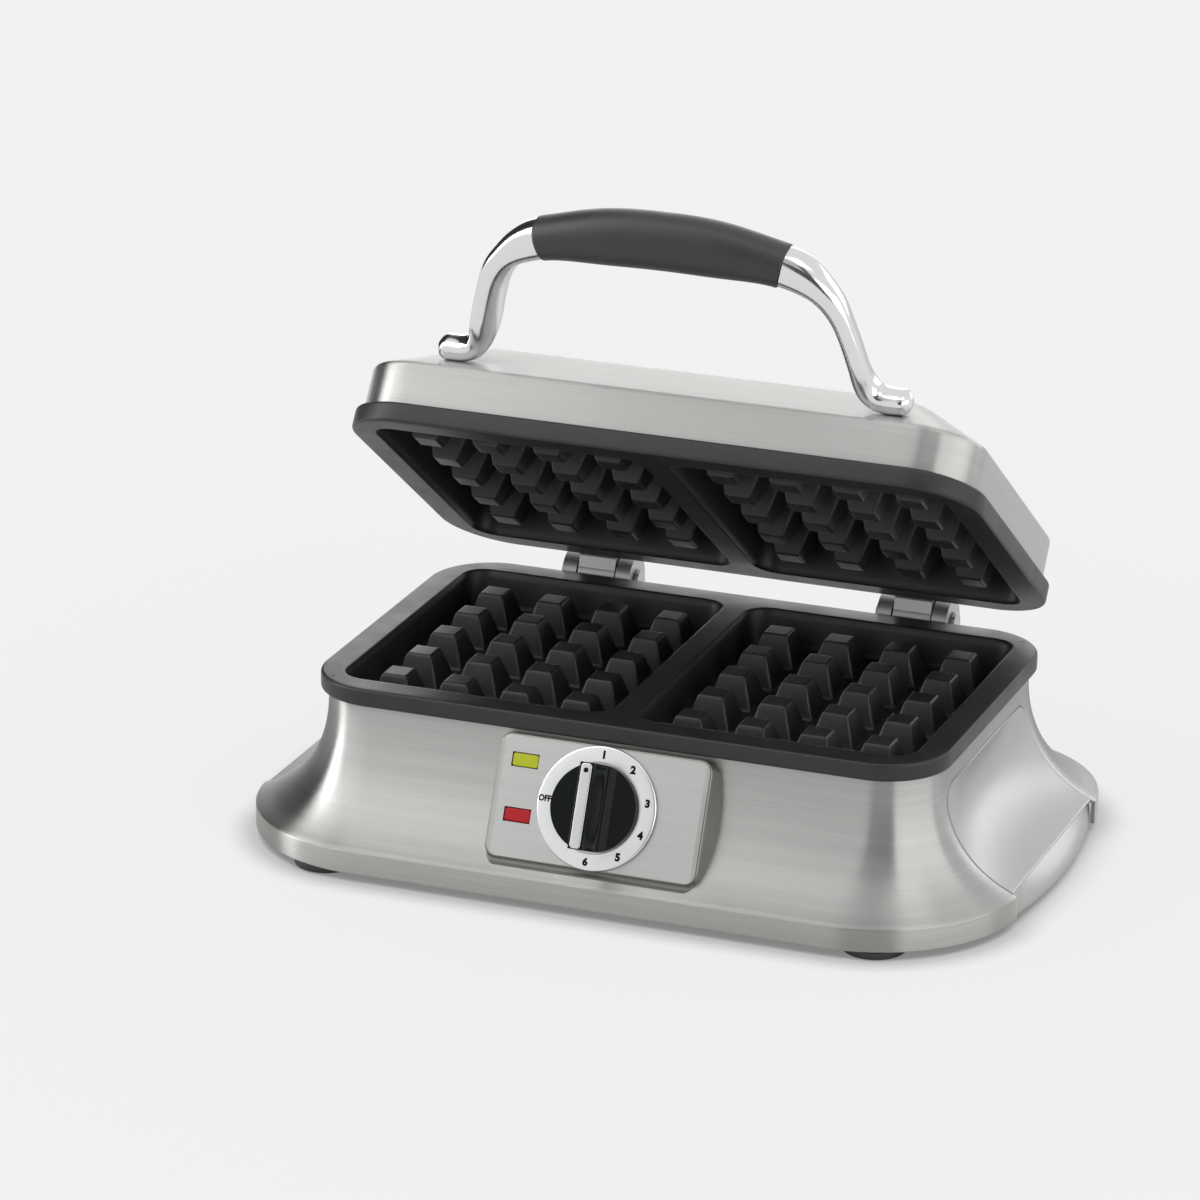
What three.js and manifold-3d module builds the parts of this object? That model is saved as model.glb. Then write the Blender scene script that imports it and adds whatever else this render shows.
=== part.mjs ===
// Belgian waffle maker with a hinged lid, a front thermostat dial and an arched handle.
// Millimetres, +Z up, +Y to the rear. The origin is on the table, under the centre of the plates.
import * as THREE from 'three';
import { mergeVertices } from 'three/addons/utils/BufferGeometryUtils.js';
import Module from 'manifold-3d';

const wasm = await Module();
wasm.setup();

// Whole object
const matingHeight = 67; // plane where the two plates meet, above the table
const lidOpenDegrees = 35; // how far the lid stands open
const fitGap = 0.3; // clearance between pieces that seat on each other
const turnGap = 0.6; // clearance beside pieces that turn past each other
const cutOverrun = 4; // how far every cutting solid runs past what it cuts
const weldReach = 0.00001; // points closer than this are one point

// Plates
const plateWidth = 250;
const plateDepth = 157;
const plateCornerRadius = 26;
const lowerRimHeight = 7;
const upperRimHeight = 8;
const rimEdgeBevel = 1.2;
const rimWidth = 11.3; // flat ring around the wells
const dividerCrest = 10; // crest of the rib between the two halves
const wellDepth = 14.5;
const wellDraft = 3; // how far the well walls lean in by the floor
const wellCornerRadius = 9;
const wellFloor = 3;
const panWall = 3.5;

// Studs
const studColumns = 4;
const studRows = 5;
const fieldMarginX = 2; // floor between the well's wall and the outer channel's middle
const fieldMarginY = 2.5;
const channelWidth = 6.67; // floor between two studs
const studLean = 4.2; // how far each face leans in from root to tip
const studRecess = 1.8; // stud tips below the mating plane

// Skirt
const skirtTopInset = 3; // skirt behind the plate rim, at the top
const skirtFlare = 26.8; // skirt past the plate rim, at the bottom
const flareWaistInset = 4.1; // control point of the flare, behind the rim
const flareWaistHeight = 24.2; // and above the table
const bandTop = 12.3;
const skirtBottom = 3.3;
const skirtWall = 1.5;
const skirtExtraRadius = 5.3; // rounder corners towards the bottom
const flangeWidth = 8.8; // turned-in flange that carries the bottom cover

// Side grips
const gripCutInset = 27.2; // opening in the skirt, inside the plates' front and rear edges
const gripCutDrop = 16.7; // top of the opening below the mating plane
const gripCutRadius = 10.3;
const gripDish = 6; // depth of the dished face
const gripLipHeight = 12.9;
const gripLipSet = 1.2; // lower wall set in under the lip
const gripLipDrop = 0.9;
const gripBulge = 5.2; // outward bow of the lower edge
const gripFootInset = 2; // ends of the lower edge behind the skirt's edge
const gripWall = 2;

// Bottom cover and feet
const coverThickness = 2.5;
const ventLength = 34;
const ventWidth = 3;
const ventPitch = 9;
const ventCount = 6;
const ventFieldInset = 55; // centre of each vent field, inside the plates' side edge
const footRadius = 12.3;
const footEdgeRound = 1.2;
const footInsetX = 16; // feet inside the plates' side edges
const footOutsetY = 11.5; // feet outside the plates' front and rear edges
const footRecessRadius = 5;
const footRecessDepth = 2.4;
const footScrewRadius = 1.8;
const footScrewHeadRadius = 3.6;
const footScrewHeadHeight = 1.6;
const footScrewReach = 4; // shank past the bottom cover

// Control panel
const panelWidth = 84.3;
const panelTopGap = 0.4; // face under the plate's rim
const panelBottomGap = 4.1; // face above the band
const panelLeanDegrees = 23.5;
const panelCentreForward = 10.9; // centre of the face in front of the plate rim
const panelCornerRadius = 5;
const panelEdgeBevel = 0.8;
const panelWall = 2.2;
const panelDeep = 20; // depth of the bezel before the skirt trims it
const panelFlareShare = 0.28; // outward lean of the bezel walls, per unit of depth
const windowMarginX = 4.15; // opening in the skirt, inside the panel's edge
const windowMarginY = 3.55;
const windowRadius = 3;

// Dial
const ringOverhang = 0.2; // dial ring past the panel's top and bottom edges
const ringBand = 5.35; // width of the printed band
const ringHeight = 1.6;
const ringFloor = 0.7;
const ringEdgeBevel = 0.5;
const knobEdgeGap = 0.8; // knob inside the printed band
const knobDisc = 4.4;
const knobLift = 0.4; // knob above the floor of the dial ring
const knobBarInset = 1.1; // ends of the bar inside the knob's edge
const knobBarRoot = 13;
const knobBarTop = 7;
const knobBarHeight = 13.5; // bar above the disc
const inlayWidth = 5;
const inlayInset = 0.75; // ends of the inlay inside those of the bar
const inlayDepth = 0.9;
const inlayProud = 0.25;
const shaftRadius = 3;
const shaftBoreGap = 0.15;
const shaftIntoKnob = 9;
const shaftTail = 5; // shaft inside the thermostat
const thermostatInset = 2.6; // thermostat inside the knob's edge
const thermostatDepth = 15.5;

// Indicator lights
const lensWidth = 10.6;
const lensHeight = 5.2;
const lensProud = 0.6;
const lensFlange = 1;
const lensFlangeThickness = 0.9;
const lensX = 31; // to the left of the dial centre
const greenLensDrop = 9.75; // below the panel's top edge, along the face
const redLensRise = 16.75; // above its bottom edge
const lampRadius = 2.4;
const lampLength = 9;
const lampHolderWidth = 13;
const lampHolderMargin = 4.5;
const lampHolderThickness = 1.5;

// Heating elements
const elementRadius = 3.25;
const elementBend = 14;
const terminalX = 15;
const terminalBend = 8;
const terminalDrop = 14; // cold end below the loop
const clampInset = 24; // clamps inside the loop's corners
const clampWidth = 10;
const clampThickness = 1.2;
const clampFoot = 7;
const clampClearance = 1.5; // clamp feet inside the reflector

// Heat reflectors
const reflectorMargin = 6; // edge of the tray inside the back of the plate
const reflectorRadius = 16;
const reflectorSheet = 0.8;
const reflectorSpace = 9.9; // from the plate's back to the sheet
const terminalHoleRadius = 5;
const capillaryHoleRadius = 3;

// Lid cover
const coverInset = 3;
const lidWallTop = 25; // crease of the cover above the mating plane
const creaseRound = 1.6;
const lidTop = 43.5;
const bevelRun = 30;
const plateauRadius = 16;
const lidCoverWall = 1.5;

// Hinge
const hingeBehind = 11.3; // axis behind the plates' rear edge
const hingeDrop = 4.3; // axis below the mating plane
const hingeInset = 59; // hinges inside the plates' side edges
const knuckleRadius = 9.2;
const cheekRadius = 9.5;
const cheekThickness = 6;
const armWidth = 15.4;
const armTop = 21; // top of the arm above the lid's mating plane
const armThickness = 11; // arm behind the cover's rear wall
const bracketReach = 31.7; // lowest point of the bracket below the axis
const bracketWebDrop = 12.7; // web between the cheeks, below the axis
const pinRadius = 2.6;
const pinHeadRadius = 4.4;
const pinHeadThickness = 1.6;
const pinSeatGap = 0.08;
const pinTurnGap = 0.2;

// Handle
const handleInset = 31; // foot tips inside the plates' side edges
const handleRise = 57.3; // centre line of the grip above that of the feet
const handleSeat = 12.4; // feet above the crease, along the bevel
const handleLeanDegrees = 18; // forward of a line square to the bevel
const handleFootHalf = 4.5;
const handleLegHalf = 4.7;
const handleBendHalf = 6.4;
const handleNeckHalf = 7.8;
const handleCoreHalf = 5.4;
const handleFootDepthHalf = 5.6;
const handleDepthHalf = 8;
const gripLengthShare = 0.51; // length of the grip, of the handle's span
const gripEndHalf = 8.2;
const gripMidHalf = 11.1;
const gripEndDepthHalf = 8.6;
const gripMidDepthHalf = 9.6;
const handleScrewRadius = 2;
const handleScrewHeadRadius = 3.8;
const handleScrewHeadThickness = 2.2;
const handleScrewInset = 8; // screws inside the foot tips
const handleScrewReach = 5;

// Parts inside the base
const bulbRadius = 2.5;
const bulbHalfLength = 30;
const capillaryRadius = 0.9;
const fuseRadius = 2.5;
const fuseHalfLength = 8;
const fuseX = -40;
const fuseY = 20;
const blockWidth = 34;
const blockDepth = 15;
const blockHeight = 12;
const blockX = 42;
const blockInset = 20.5; // inside the plates' rear edge
const blockSlotWidth = 3;
const blockSlotDepth = 4;
const leadRadius = 1.5;
const glandRadius = 6.2;
const glandBore = 3.4;
const glandDrop = 36; // gland's axis below the mating plane
const glandInner = 6; // gland inside the plate's rear edge
const glandOuter = 12; // gland behind the plate's rear edge
const glandCollar = 8;
const glandCollarLength = 3;

// Counts that set how round things are
const cornerSteps = 6;
const flareSteps = 8;
const roundSteps = 20;
const smallRoundSteps = 12;
const tubeSides = 8;
const leadSides = 6;
const handleSides = 12;
const gripStations = 14;

// Derived places
const plateHalfX = plateWidth / 2;
const plateHalfY = plateDepth / 2;
const wellInner = dividerCrest / 2;
const wellOuter = plateHalfX - rimWidth;
const wellHalfY = plateHalfY - rimWidth;
const studPitchX = (wellOuter - wellInner - 2 * (wellDraft + fieldMarginX)) / studColumns;
const studPitchY = (2 * (wellHalfY - wellDraft - fieldMarginY)) / studRows;
const panTopHalfX = wellOuter + panWall;
const panTopHalfY = wellHalfY + panWall;
const panDepth = wellDepth + wellFloor;
const reflectorHalfX = panTopHalfX - wellDraft - reflectorMargin;
const reflectorHalfY = panTopHalfY - wellDraft - reflectorMargin;
const elementEdge = elementRadius + fitGap + clampThickness + clampFoot + reflectorSheet + clampClearance;
const elementHalfX = reflectorHalfX - elementEdge;
const elementHalfY = reflectorHalfY - elementEdge;
const clampX = elementHalfX - clampInset;
const bulbY = -elementHalfY / 2;
const lowerBack = matingHeight - panDepth;
const hingeY = plateHalfY + hingeBehind;
const hingeZ = matingHeight - hingeDrop;
const coverTop = skirtBottom + coverThickness;
const coverReach = skirtFlare - gripFootInset - gripWall - fitGap;
const gripCutHalf = plateHalfY - gripCutInset;
const ventFieldX = plateHalfX - ventFieldInset;
const footX = plateHalfX - footInsetX;
const footY = plateHalfY + footOutsetY;
const hingeX = plateHalfX - hingeInset;
const handleHalfSpan = plateHalfX - handleInset;
const handleScrewX = handleHalfSpan - handleScrewInset;
const gripHalfLength = handleHalfSpan * gripLengthShare;
const blockY = plateHalfY - blockInset;
const gripCutTop = matingHeight - gripCutDrop;
const glandHeight = matingHeight - glandDrop;
const panelTop = matingHeight - lowerRimHeight - panelTopGap;
const panelBottom = bandTop + panelBottomGap;
const panelCentreHeight = (panelTop + panelBottom) / 2;
const panelHeight = (panelTop - panelBottom) / Math.cos(THREE.MathUtils.degToRad(panelLeanDegrees));
const panelCentreY = -(plateHalfY + panelCentreForward);
const panelTilt = THREE.MathUtils.degToRad(90 - panelLeanDegrees);
const windowWidth = panelWidth - 2 * windowMarginX;
const windowHeight = panelHeight - 2 * windowMarginY;
const ringRadius = panelHeight / 2 + ringOverhang;
const ringInner = ringRadius - ringBand;
const knobRadius = ringInner - knobEdgeGap;
const knobBarLength = 2 * (knobRadius - knobBarInset);
const inlayLength = knobBarLength - 2 * inlayInset;
const thermostatRadius = knobRadius - thermostatInset;
const greenLensY = panelHeight / 2 - greenLensDrop;
const redLensY = redLensRise - panelHeight / 2;
const lidOpen = THREE.MathUtils.degToRad(lidOpenDegrees);
const bevelAngle = Math.atan2(lidTop - lidWallTop, bevelRun);
const handleLean = THREE.MathUtils.degToRad(handleLeanDegrees);
const footSupport = Math.hypot(handleFootHalf * Math.cos(handleLean), handleFootDepthHalf * Math.sin(handleLean));
const handleLift = (footSupport + fitGap) / Math.cos(handleLean);
const screwForward = handleLift * Math.sin(handleLean);

// Materials
const finish = (color, roughness, metalness) => new THREE.MeshStandardMaterial({ color, roughness, metalness });
const brushedSteel = () => finish(0xb9bab8, 0.34, 1);
const satinSilver = () => finish(0xb4b5b4, 0.42, 0.75);
const nonstick = () => finish(0x2b2b2b, 0.55, 0.2);
const chrome = () => finish(0xdfe1e4, 0.08, 1);
const rubber = () => finish(0x2a2a2b, 0.75, 0);
const blackPlastic = () => finish(0x141516, 0.25, 0);
const darkPlastic = () => finish(0x26282a, 0.6, 0);
const zincSteel = () => finish(0x9ea1a3, 0.4, 0.9);
const elementSheath = () => finish(0x5c5a55, 0.5, 0.8);
const sheetAluminium = () => finish(0xc6c8ca, 0.3, 0.9);
const paleCeramic = () => finish(0xe6e1d6, 0.6, 0);

// Scene graph
const wafflemaker = new THREE.Group();
const baseGroup = new THREE.Group();
const lidPivot = new THREE.Group();
const lidGroup = new THREE.Group();
const panelGroup = new THREE.Group();
const seatGroup = new THREE.Group();
const handleGroup = new THREE.Group();
lidPivot.position.set(0, hingeY, hingeZ);
lidPivot.rotation.x = -lidOpen;
lidGroup.position.set(0, -hingeY, matingHeight + fitGap - hingeZ);
panelGroup.position.set(0, panelCentreY, panelCentreHeight);
panelGroup.rotation.x = panelTilt;
seatGroup.position.set(
  0,
  -(plateHalfY - coverInset) + handleSeat * Math.cos(bevelAngle),
  lidWallTop + handleSeat * Math.sin(bevelAngle)
);
seatGroup.rotation.x = bevelAngle;
handleGroup.rotation.x = handleLean;
wafflemaker.add(baseGroup, lidPivot);
baseGroup.add(panelGroup);
lidPivot.add(lidGroup);
lidGroup.add(seatGroup);
seatGroup.add(handleGroup);
wafflemaker.updateMatrixWorld(true);

function addPiece(parent, name, geometry, material) {
  const mesh = new THREE.Mesh(geometry, material);
  mesh.name = name;
  parent.add(mesh);
  return mesh;
}

// Solids for cutting and joining
function toSolid(geometry) {
  const plain = geometry.clone();
  plain.deleteAttribute('normal');
  plain.deleteAttribute('uv');
  const merged = mergeVertices(plain, weldReach);
  return new wasm.Manifold(
    new wasm.Mesh({
      numProp: 3,
      vertProperties: new Float32Array(merged.attributes.position.array),
      triVerts: new Uint32Array(merged.index.array),
    })
  );
}

function toGeometry(solid) {
  const mesh = solid.getMesh();
  const geometry = new THREE.BufferGeometry();
  geometry.setAttribute('position', new THREE.BufferAttribute(mesh.vertProperties, 3));
  geometry.setIndex(new THREE.BufferAttribute(mesh.triVerts, 1));
  return geometry;
}

function carve(body, cutters) {
  let solid = toSolid(body);
  for (const cutter of cutters) {
    solid = solid.subtract(toSolid(cutter));
  }
  return toGeometry(solid);
}

function join(body, additions) {
  let solid = toSolid(body);
  for (const addition of additions) {
    solid = solid.add(toSolid(addition));
  }
  return toGeometry(solid);
}

// Points of a rounded rectangle, anticlockwise from above
function roundedRectangle(width, depth, radius, centreX = 0, centreY = 0) {
  const points = [];
  const cornerX = width / 2 - radius;
  const cornerY = depth / 2 - radius;
  const corners = [[1, 1], [-1, 1], [-1, -1], [1, -1]];
  corners.forEach(([signX, signY], quarter) => {
    for (let step = 0; step <= cornerSteps; step += 1) {
      const angle = ((quarter + step / cornerSteps) * Math.PI) / 2;
      points.push(
        new THREE.Vector2(
          centreX + signX * cornerX + radius * Math.cos(angle),
          centreY + signY * cornerY + radius * Math.sin(angle)
        )
      );
    }
  });
  return points;
}

const ringAt = (outline, z) => outline.map((point) => new THREE.Vector3(point.x, point.y, z));

// Triangles that fill a flat ring of points, each in the ring's own order
function fillRing(ring) {
  const normal = new THREE.Vector3();
  ring.forEach((point, place) => normal.add(point.clone().cross(ring[(place + 1) % ring.length])));
  const [x, y, z] = normal.toArray().map(Math.abs);
  const flat = ring.map((point) => {
    if (z >= x && z >= y) {
      return new THREE.Vector2(point.x, point.y);
    }
    return x >= y ? new THREE.Vector2(point.y, point.z) : new THREE.Vector2(point.z, point.x);
  });
  const forward = THREE.ShapeUtils.area(flat) > 0;
  return THREE.ShapeUtils.triangulateShape(flat, []).map(([a, b, c]) => {
    const same = THREE.ShapeUtils.area([flat[a], flat[b], flat[c]]) > 0 === forward;
    return same ? [a, b, c] : [a, c, b];
  });
}

// Closed body through rings of points. The ends are capped, or joined to each other when looped.
function loft(rings, looped = false) {
  const count = rings[0].length;
  const positions = rings.flat().flatMap((point) => [point.x, point.y, point.z]);
  const faces = [];
  const last = looped ? rings.length : rings.length - 1;
  for (let ring = 0; ring < last; ring += 1) {
    const here = ring * count;
    const there = ((ring + 1) % rings.length) * count;
    for (let side = 0; side < count; side += 1) {
      const next = (side + 1) % count;
      faces.push(here + side, here + next, there + next, here + side, there + next, there + side);
    }
  }
  if (!looped) {
    const end = (rings.length - 1) * count;
    fillRing(rings[0]).forEach(([a, b, c]) => faces.push(a, c, b));
    fillRing(rings.at(-1)).forEach(([a, b, c]) => faces.push(end + a, end + b, end + c));
  }
  const geometry = new THREE.BufferGeometry();
  geometry.setAttribute('position', new THREE.Float32BufferAttribute(positions, 3));
  geometry.setIndex(faces);
  return facingOut(geometry);
}

// Turns every face round when the signed volume is negative
function facingOut(geometry) {
  const place = geometry.attributes.position;
  const index = geometry.index.array;
  const [a, b, c] = [new THREE.Vector3(), new THREE.Vector3(), new THREE.Vector3()];
  let volume = 0;
  for (let face = 0; face < index.length; face += 3) {
    a.fromBufferAttribute(place, index[face]);
    b.fromBufferAttribute(place, index[face + 1]);
    c.fromBufferAttribute(place, index[face + 2]);
    volume += a.dot(b.cross(c));
  }
  if (volume < 0) {
    for (let face = 0; face < index.length; face += 3) {
      [index[face + 1], index[face + 2]] = [index[face + 2], index[face + 1]];
    }
  }
  return geometry;
}

// Straight prism on an outline, from one height to another
const prism = (outline, low, high) => loft([ringAt(outline, low), ringAt(outline, high)]);

const boxOf = (width, depth, height, x, y, z) => new THREE.BoxGeometry(width, depth, height).translate(x, y, z);

// Cylinder between two heights on Z
function post(radius, low, high, steps = roundSteps) {
  const geometry = new THREE.CylinderGeometry(radius, radius, high - low, steps);
  return geometry.rotateX(Math.PI / 2).translate(0, 0, (low + high) / 2);
}

// Cylinder between two places on X
function bar(radius, low, high, steps = roundSteps) {
  const geometry = new THREE.CylinderGeometry(radius, radius, high - low, steps);
  return geometry.rotateZ(Math.PI / 2).translate((low + high) / 2, 0, 0);
}

// Body turned about Z from a profile of [radius, height] pairs
function turned(profile, steps = roundSteps) {
  const points = profile.map(([radius, height]) => new THREE.Vector2(radius, height));
  const geometry = new THREE.LatheGeometry([...points].reverse(), steps).rotateX(Math.PI / 2);
  const merged = toGeometry(toSolid(geometry));
  return facingOut(merged);
}

// Shape drawn in Y and Z, made thick along X about x = 0
function sideShape(shape, thickness) {
  const geometry = new THREE.ExtrudeGeometry(shape, { depth: thickness, bevelEnabled: false, curveSegments: roundSteps });
  const turn = new THREE.Matrix4().makeBasis(
    new THREE.Vector3(0, 1, 0),
    new THREE.Vector3(0, 0, 1),
    new THREE.Vector3(1, 0, 0)
  );
  return geometry.applyMatrix4(turn).translate(-thickness / 2, 0, 0);
}

// Round tube along a smooth line through points
function tube(points, radius, steps, sides) {
  const section = new THREE.Shape();
  section.absarc(0, 0, radius, 0, Math.PI * 2);
  const line = new THREE.CatmullRomCurve3(points.map((point) => new THREE.Vector3(...point)), false, 'centripetal');
  return new THREE.ExtrudeGeometry(section, { steps, extrudePath: line, curveSegments: sides / 2 });
}

// Skirt of the base
// The flare is a quadratic curve from the plate rim, through a waist, out to the band.
const flareStart = new THREE.Vector2(-skirtTopInset, matingHeight - lowerRimHeight - fitGap);
const flareWaist = new THREE.Vector2(-flareWaistInset, flareWaistHeight);
const flareEnd = new THREE.Vector2(skirtFlare, bandTop);
const flare = new THREE.QuadraticBezierCurve(flareStart, flareWaist, flareEnd);

const skirtCorner = (offset) => plateCornerRadius + offset + (skirtExtraRadius * Math.max(offset, 0)) / skirtFlare;

const skirtOutline = (offset) =>
  roundedRectangle(plateWidth + 2 * offset, plateDepth + 2 * offset, skirtCorner(offset));

const skirtRing = ([offset, height]) => ringAt(skirtOutline(offset), height);

function flareProfile(inward, grown = 0) {
  const profile = [];
  for (let step = 0; step <= flareSteps; step += 1) {
    const share = step / flareSteps;
    const point = flare.getPoint(share);
    const along = flare.getTangent(share);
    const shift = grown - inward;
    profile.push([point.x - along.y * shift, point.y + along.x * shift]);
  }
  return profile;
}

// Offset of the flare past the plate rim at a height
function flareOffset(height) {
  const curve = flareStart.y - 2 * flareWaist.y + flareEnd.y;
  const slope = 2 * (flareWaist.y - flareStart.y);
  const root = Math.sqrt(slope * slope - 4 * curve * (flareStart.y - height));
  const share = THREE.MathUtils.clamp((-slope - root) / (2 * curve), 0, 1);
  return flare.getPoint(share).x;
}

function skirtShell() {
  const outer = flareProfile(0);
  const inner = flareProfile(skirtWall).slice(0, -1);
  const innerEdge = skirtFlare - skirtWall;
  const endAlong = flare.getTangent(1);
  const innerEnd = flareProfile(skirtWall).at(-1);
  const back = (innerEnd[0] - innerEdge) / endAlong.x;
  const innerCorner = [innerEdge, innerEnd[1] - endAlong.y * back];
  const flangeLow = coverTop + fitGap;
  const flangeTop = flangeLow + skirtWall;
  const flangeEdge = skirtFlare - flangeWidth;
  const profile = [
    ...outer,
    [skirtFlare, skirtBottom],
    [innerEdge, skirtBottom],
    [innerEdge, flangeLow],
    [flangeEdge, flangeLow],
    [flangeEdge, flangeTop],
    [innerEdge, flangeTop],
    innerCorner,
    ...inner.reverse(),
  ];
  return loft(profile.map(skirtRing), true);
}

// Everything inside the skirt's outer face, grown by the fit gap
function skirtFilled() {
  const top = [-skirtTopInset + fitGap, matingHeight + cutOverrun];
  const bottom = [skirtFlare + fitGap, -cutOverrun];
  return loft([top, ...flareProfile(0, fitGap), bottom].map(skirtRing));
}

// Outline of the side opening, in Y and height, open towards the table
function gripOpening(half, top, radius, bottom) {
  const shape = new THREE.Shape();
  shape.moveTo(-half, bottom);
  shape.lineTo(half, bottom);
  shape.lineTo(half, top - radius);
  shape.absarc(half - radius, top - radius, radius, 0, Math.PI / 2, false);
  shape.lineTo(-half + radius, top);
  shape.absarc(-half + radius, top - radius, radius, Math.PI / 2, Math.PI, false);
  shape.lineTo(-half, bottom);
  return shape;
}

function gripCutters() {
  const opening = gripOpening(gripCutHalf, gripCutTop, gripCutRadius, -cutOverrun);
  const cutWidth = 2 * (skirtFlare + skirtTopInset);
  return [-1, 1].map((side) => sideShape(opening, cutWidth).translate(side * (plateHalfX + skirtFlare - skirtTopInset / 2), 0, 0));
}

const inPanel = (geometry) => geometry.applyMatrix4(panelGroup.matrixWorld);

function makeBaseHousing() {
  const window = prism(roundedRectangle(windowWidth, windowHeight, windowRadius), -panelDeep - cutOverrun, cutOverrun);
  const glandHole = post(glandRadius + fitGap, plateHalfY - glandInner, plateHalfY + skirtFlare).rotateX(-Math.PI / 2);
  glandHole.translate(0, 0, glandHeight);
  const housing = carve(skirtShell(), [...gripCutters(), inPanel(window), glandHole]);
  addPiece(baseGroup, 'base_housing', housing, brushedSteel());
}

// Side grip: sections across the side, each a closed outline in X and height
function gripSection(y) {
  const half = gripCutHalf - fitGap;
  const radius = gripCutRadius - fitGap;
  const past = Math.max(Math.abs(y) - (half - radius), 0);
  const top = gripCutTop - fitGap - radius + Math.sqrt(Math.max(radius * radius - past * past, 0));
  const middle = 1 - (y / half) ** 2;
  const outer = [];
  for (let step = 0; step <= flareSteps; step += 1) {
    const share = step / flareSteps;
    const height = top + (gripLipHeight - top) * share;
    const dish = gripDish * middle * 4 * share * (1 - share);
    outer.push([plateHalfX + flareOffset(height) - dish, height]);
  }
  const inner = outer.slice(0, -1).map(([x, height], step) => {
    const [beforeX, beforeHeight] = outer[Math.max(step - 1, 0)];
    const [afterX, afterHeight] = outer[step + 1];
    const length = Math.hypot(afterX - beforeX, afterHeight - beforeHeight);
    const lower = step === 0 ? 0 : (gripWall * (afterX - beforeX)) / length;
    return [x - (gripWall * (beforeHeight - afterHeight)) / length, height - lower];
  }).reverse();
  const lip = outer.at(-1)[0];
  const foot = plateHalfX + skirtFlare - gripFootInset + gripBulge * middle;
  const outline = [
    ...outer,
    [lip - gripLipSet, gripLipHeight - gripLipDrop],
    [foot, skirtBottom],
    [foot - gripWall, skirtBottom],
    [lip - gripLipSet - gripWall, gripLipHeight - gripLipDrop],
    ...inner,
  ];
  return outline.map(([x, height]) => new THREE.Vector3(x, y, height));
}

function makeSideGrips() {
  const half = gripCutHalf - fitGap;
  const stations = [];
  for (let step = 0; step <= gripStations; step += 1) {
    stations.push(-half * Math.cos((Math.PI * step) / gripStations));
  }
  const right = loft(stations.map(gripSection));
  const left = facingOut(right.clone().scale(-1, 1, 1));
  addPiece(baseGroup, 'side_grip_right', right, satinSilver());
  addPiece(baseGroup, 'side_grip_left', left, satinSilver());
}

// Waffle plates: local z is 0 at the mating plane and falls towards the back of the plate
function wellCutter(side) {
  const centre = (side * (wellInner + wellOuter)) / 2;
  const outlineAt = (draft) =>
    roundedRectangle(wellOuter - wellInner - 2 * draft, 2 * (wellHalfY - draft), wellCornerRadius - draft / 2, centre);
  const rise = (wellDraft * cutOverrun) / wellDepth;
  return loft([ringAt(outlineAt(wellDraft), -wellDepth), ringAt(outlineAt(-rise), cutOverrun)]);
}

function studAt(x, y) {
  const halfX = (studPitchX - channelWidth) / 2;
  const halfY = (studPitchY - channelWidth) / 2;
  const sectionAt = (inset, z) =>
    [[1, 1], [-1, 1], [-1, -1], [1, -1]].map(
      ([signX, signY]) => new THREE.Vector3(x + signX * (halfX - inset), y + signY * (halfY - inset), z)
    );
  const sink = wellFloor / 2;
  const spread = (studLean * sink) / (wellDepth - studRecess);
  return loft([sectionAt(-spread, -wellDepth - sink), sectionAt(studLean, -studRecess)]);
}

function studField() {
  const studs = [];
  for (const side of [-1, 1]) {
    for (let column = 0; column < studColumns; column += 1) {
      for (let row = 0; row < studRows; row += 1) {
        const x = side * (wellInner + wellDraft + fieldMarginX + (column + 1 / 2) * studPitchX);
        const y = (row - (studRows - 1) / 2) * studPitchY;
        studs.push(studAt(x, y));
      }
    }
  }
  return studs;
}

function gridPlate(rimHeight) {
  const rimOutline = (inset) =>
    roundedRectangle(plateWidth - 2 * inset, plateDepth - 2 * inset, plateCornerRadius - inset);
  const rim = loft([
    ringAt(rimOutline(rimEdgeBevel), -rimHeight),
    ringAt(rimOutline(0), -rimHeight + rimEdgeBevel),
    ringAt(rimOutline(0), -rimEdgeBevel),
    ringAt(rimOutline(rimEdgeBevel), 0),
  ]);
  const panOutline = (inset) =>
    roundedRectangle(2 * (panTopHalfX - inset), 2 * (panTopHalfY - inset), wellCornerRadius + panWall - inset);
  const pan = loft([ringAt(panOutline(wellDraft), -panDepth), ringAt(panOutline(0), -rimHeight / 2)]);
  const blank = join(rim, [pan]);
  return join(carve(blank, [wellCutter(-1), wellCutter(1)]), studField());
}

function makePlates() {
  const lower = addPiece(baseGroup, 'lower_grid_plate', gridPlate(lowerRimHeight), nonstick());
  lower.position.z = matingHeight;
  const upper = addPiece(lidGroup, 'upper_grid_plate', gridPlate(upperRimHeight), nonstick());
  upper.rotation.y = Math.PI;
}

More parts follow.
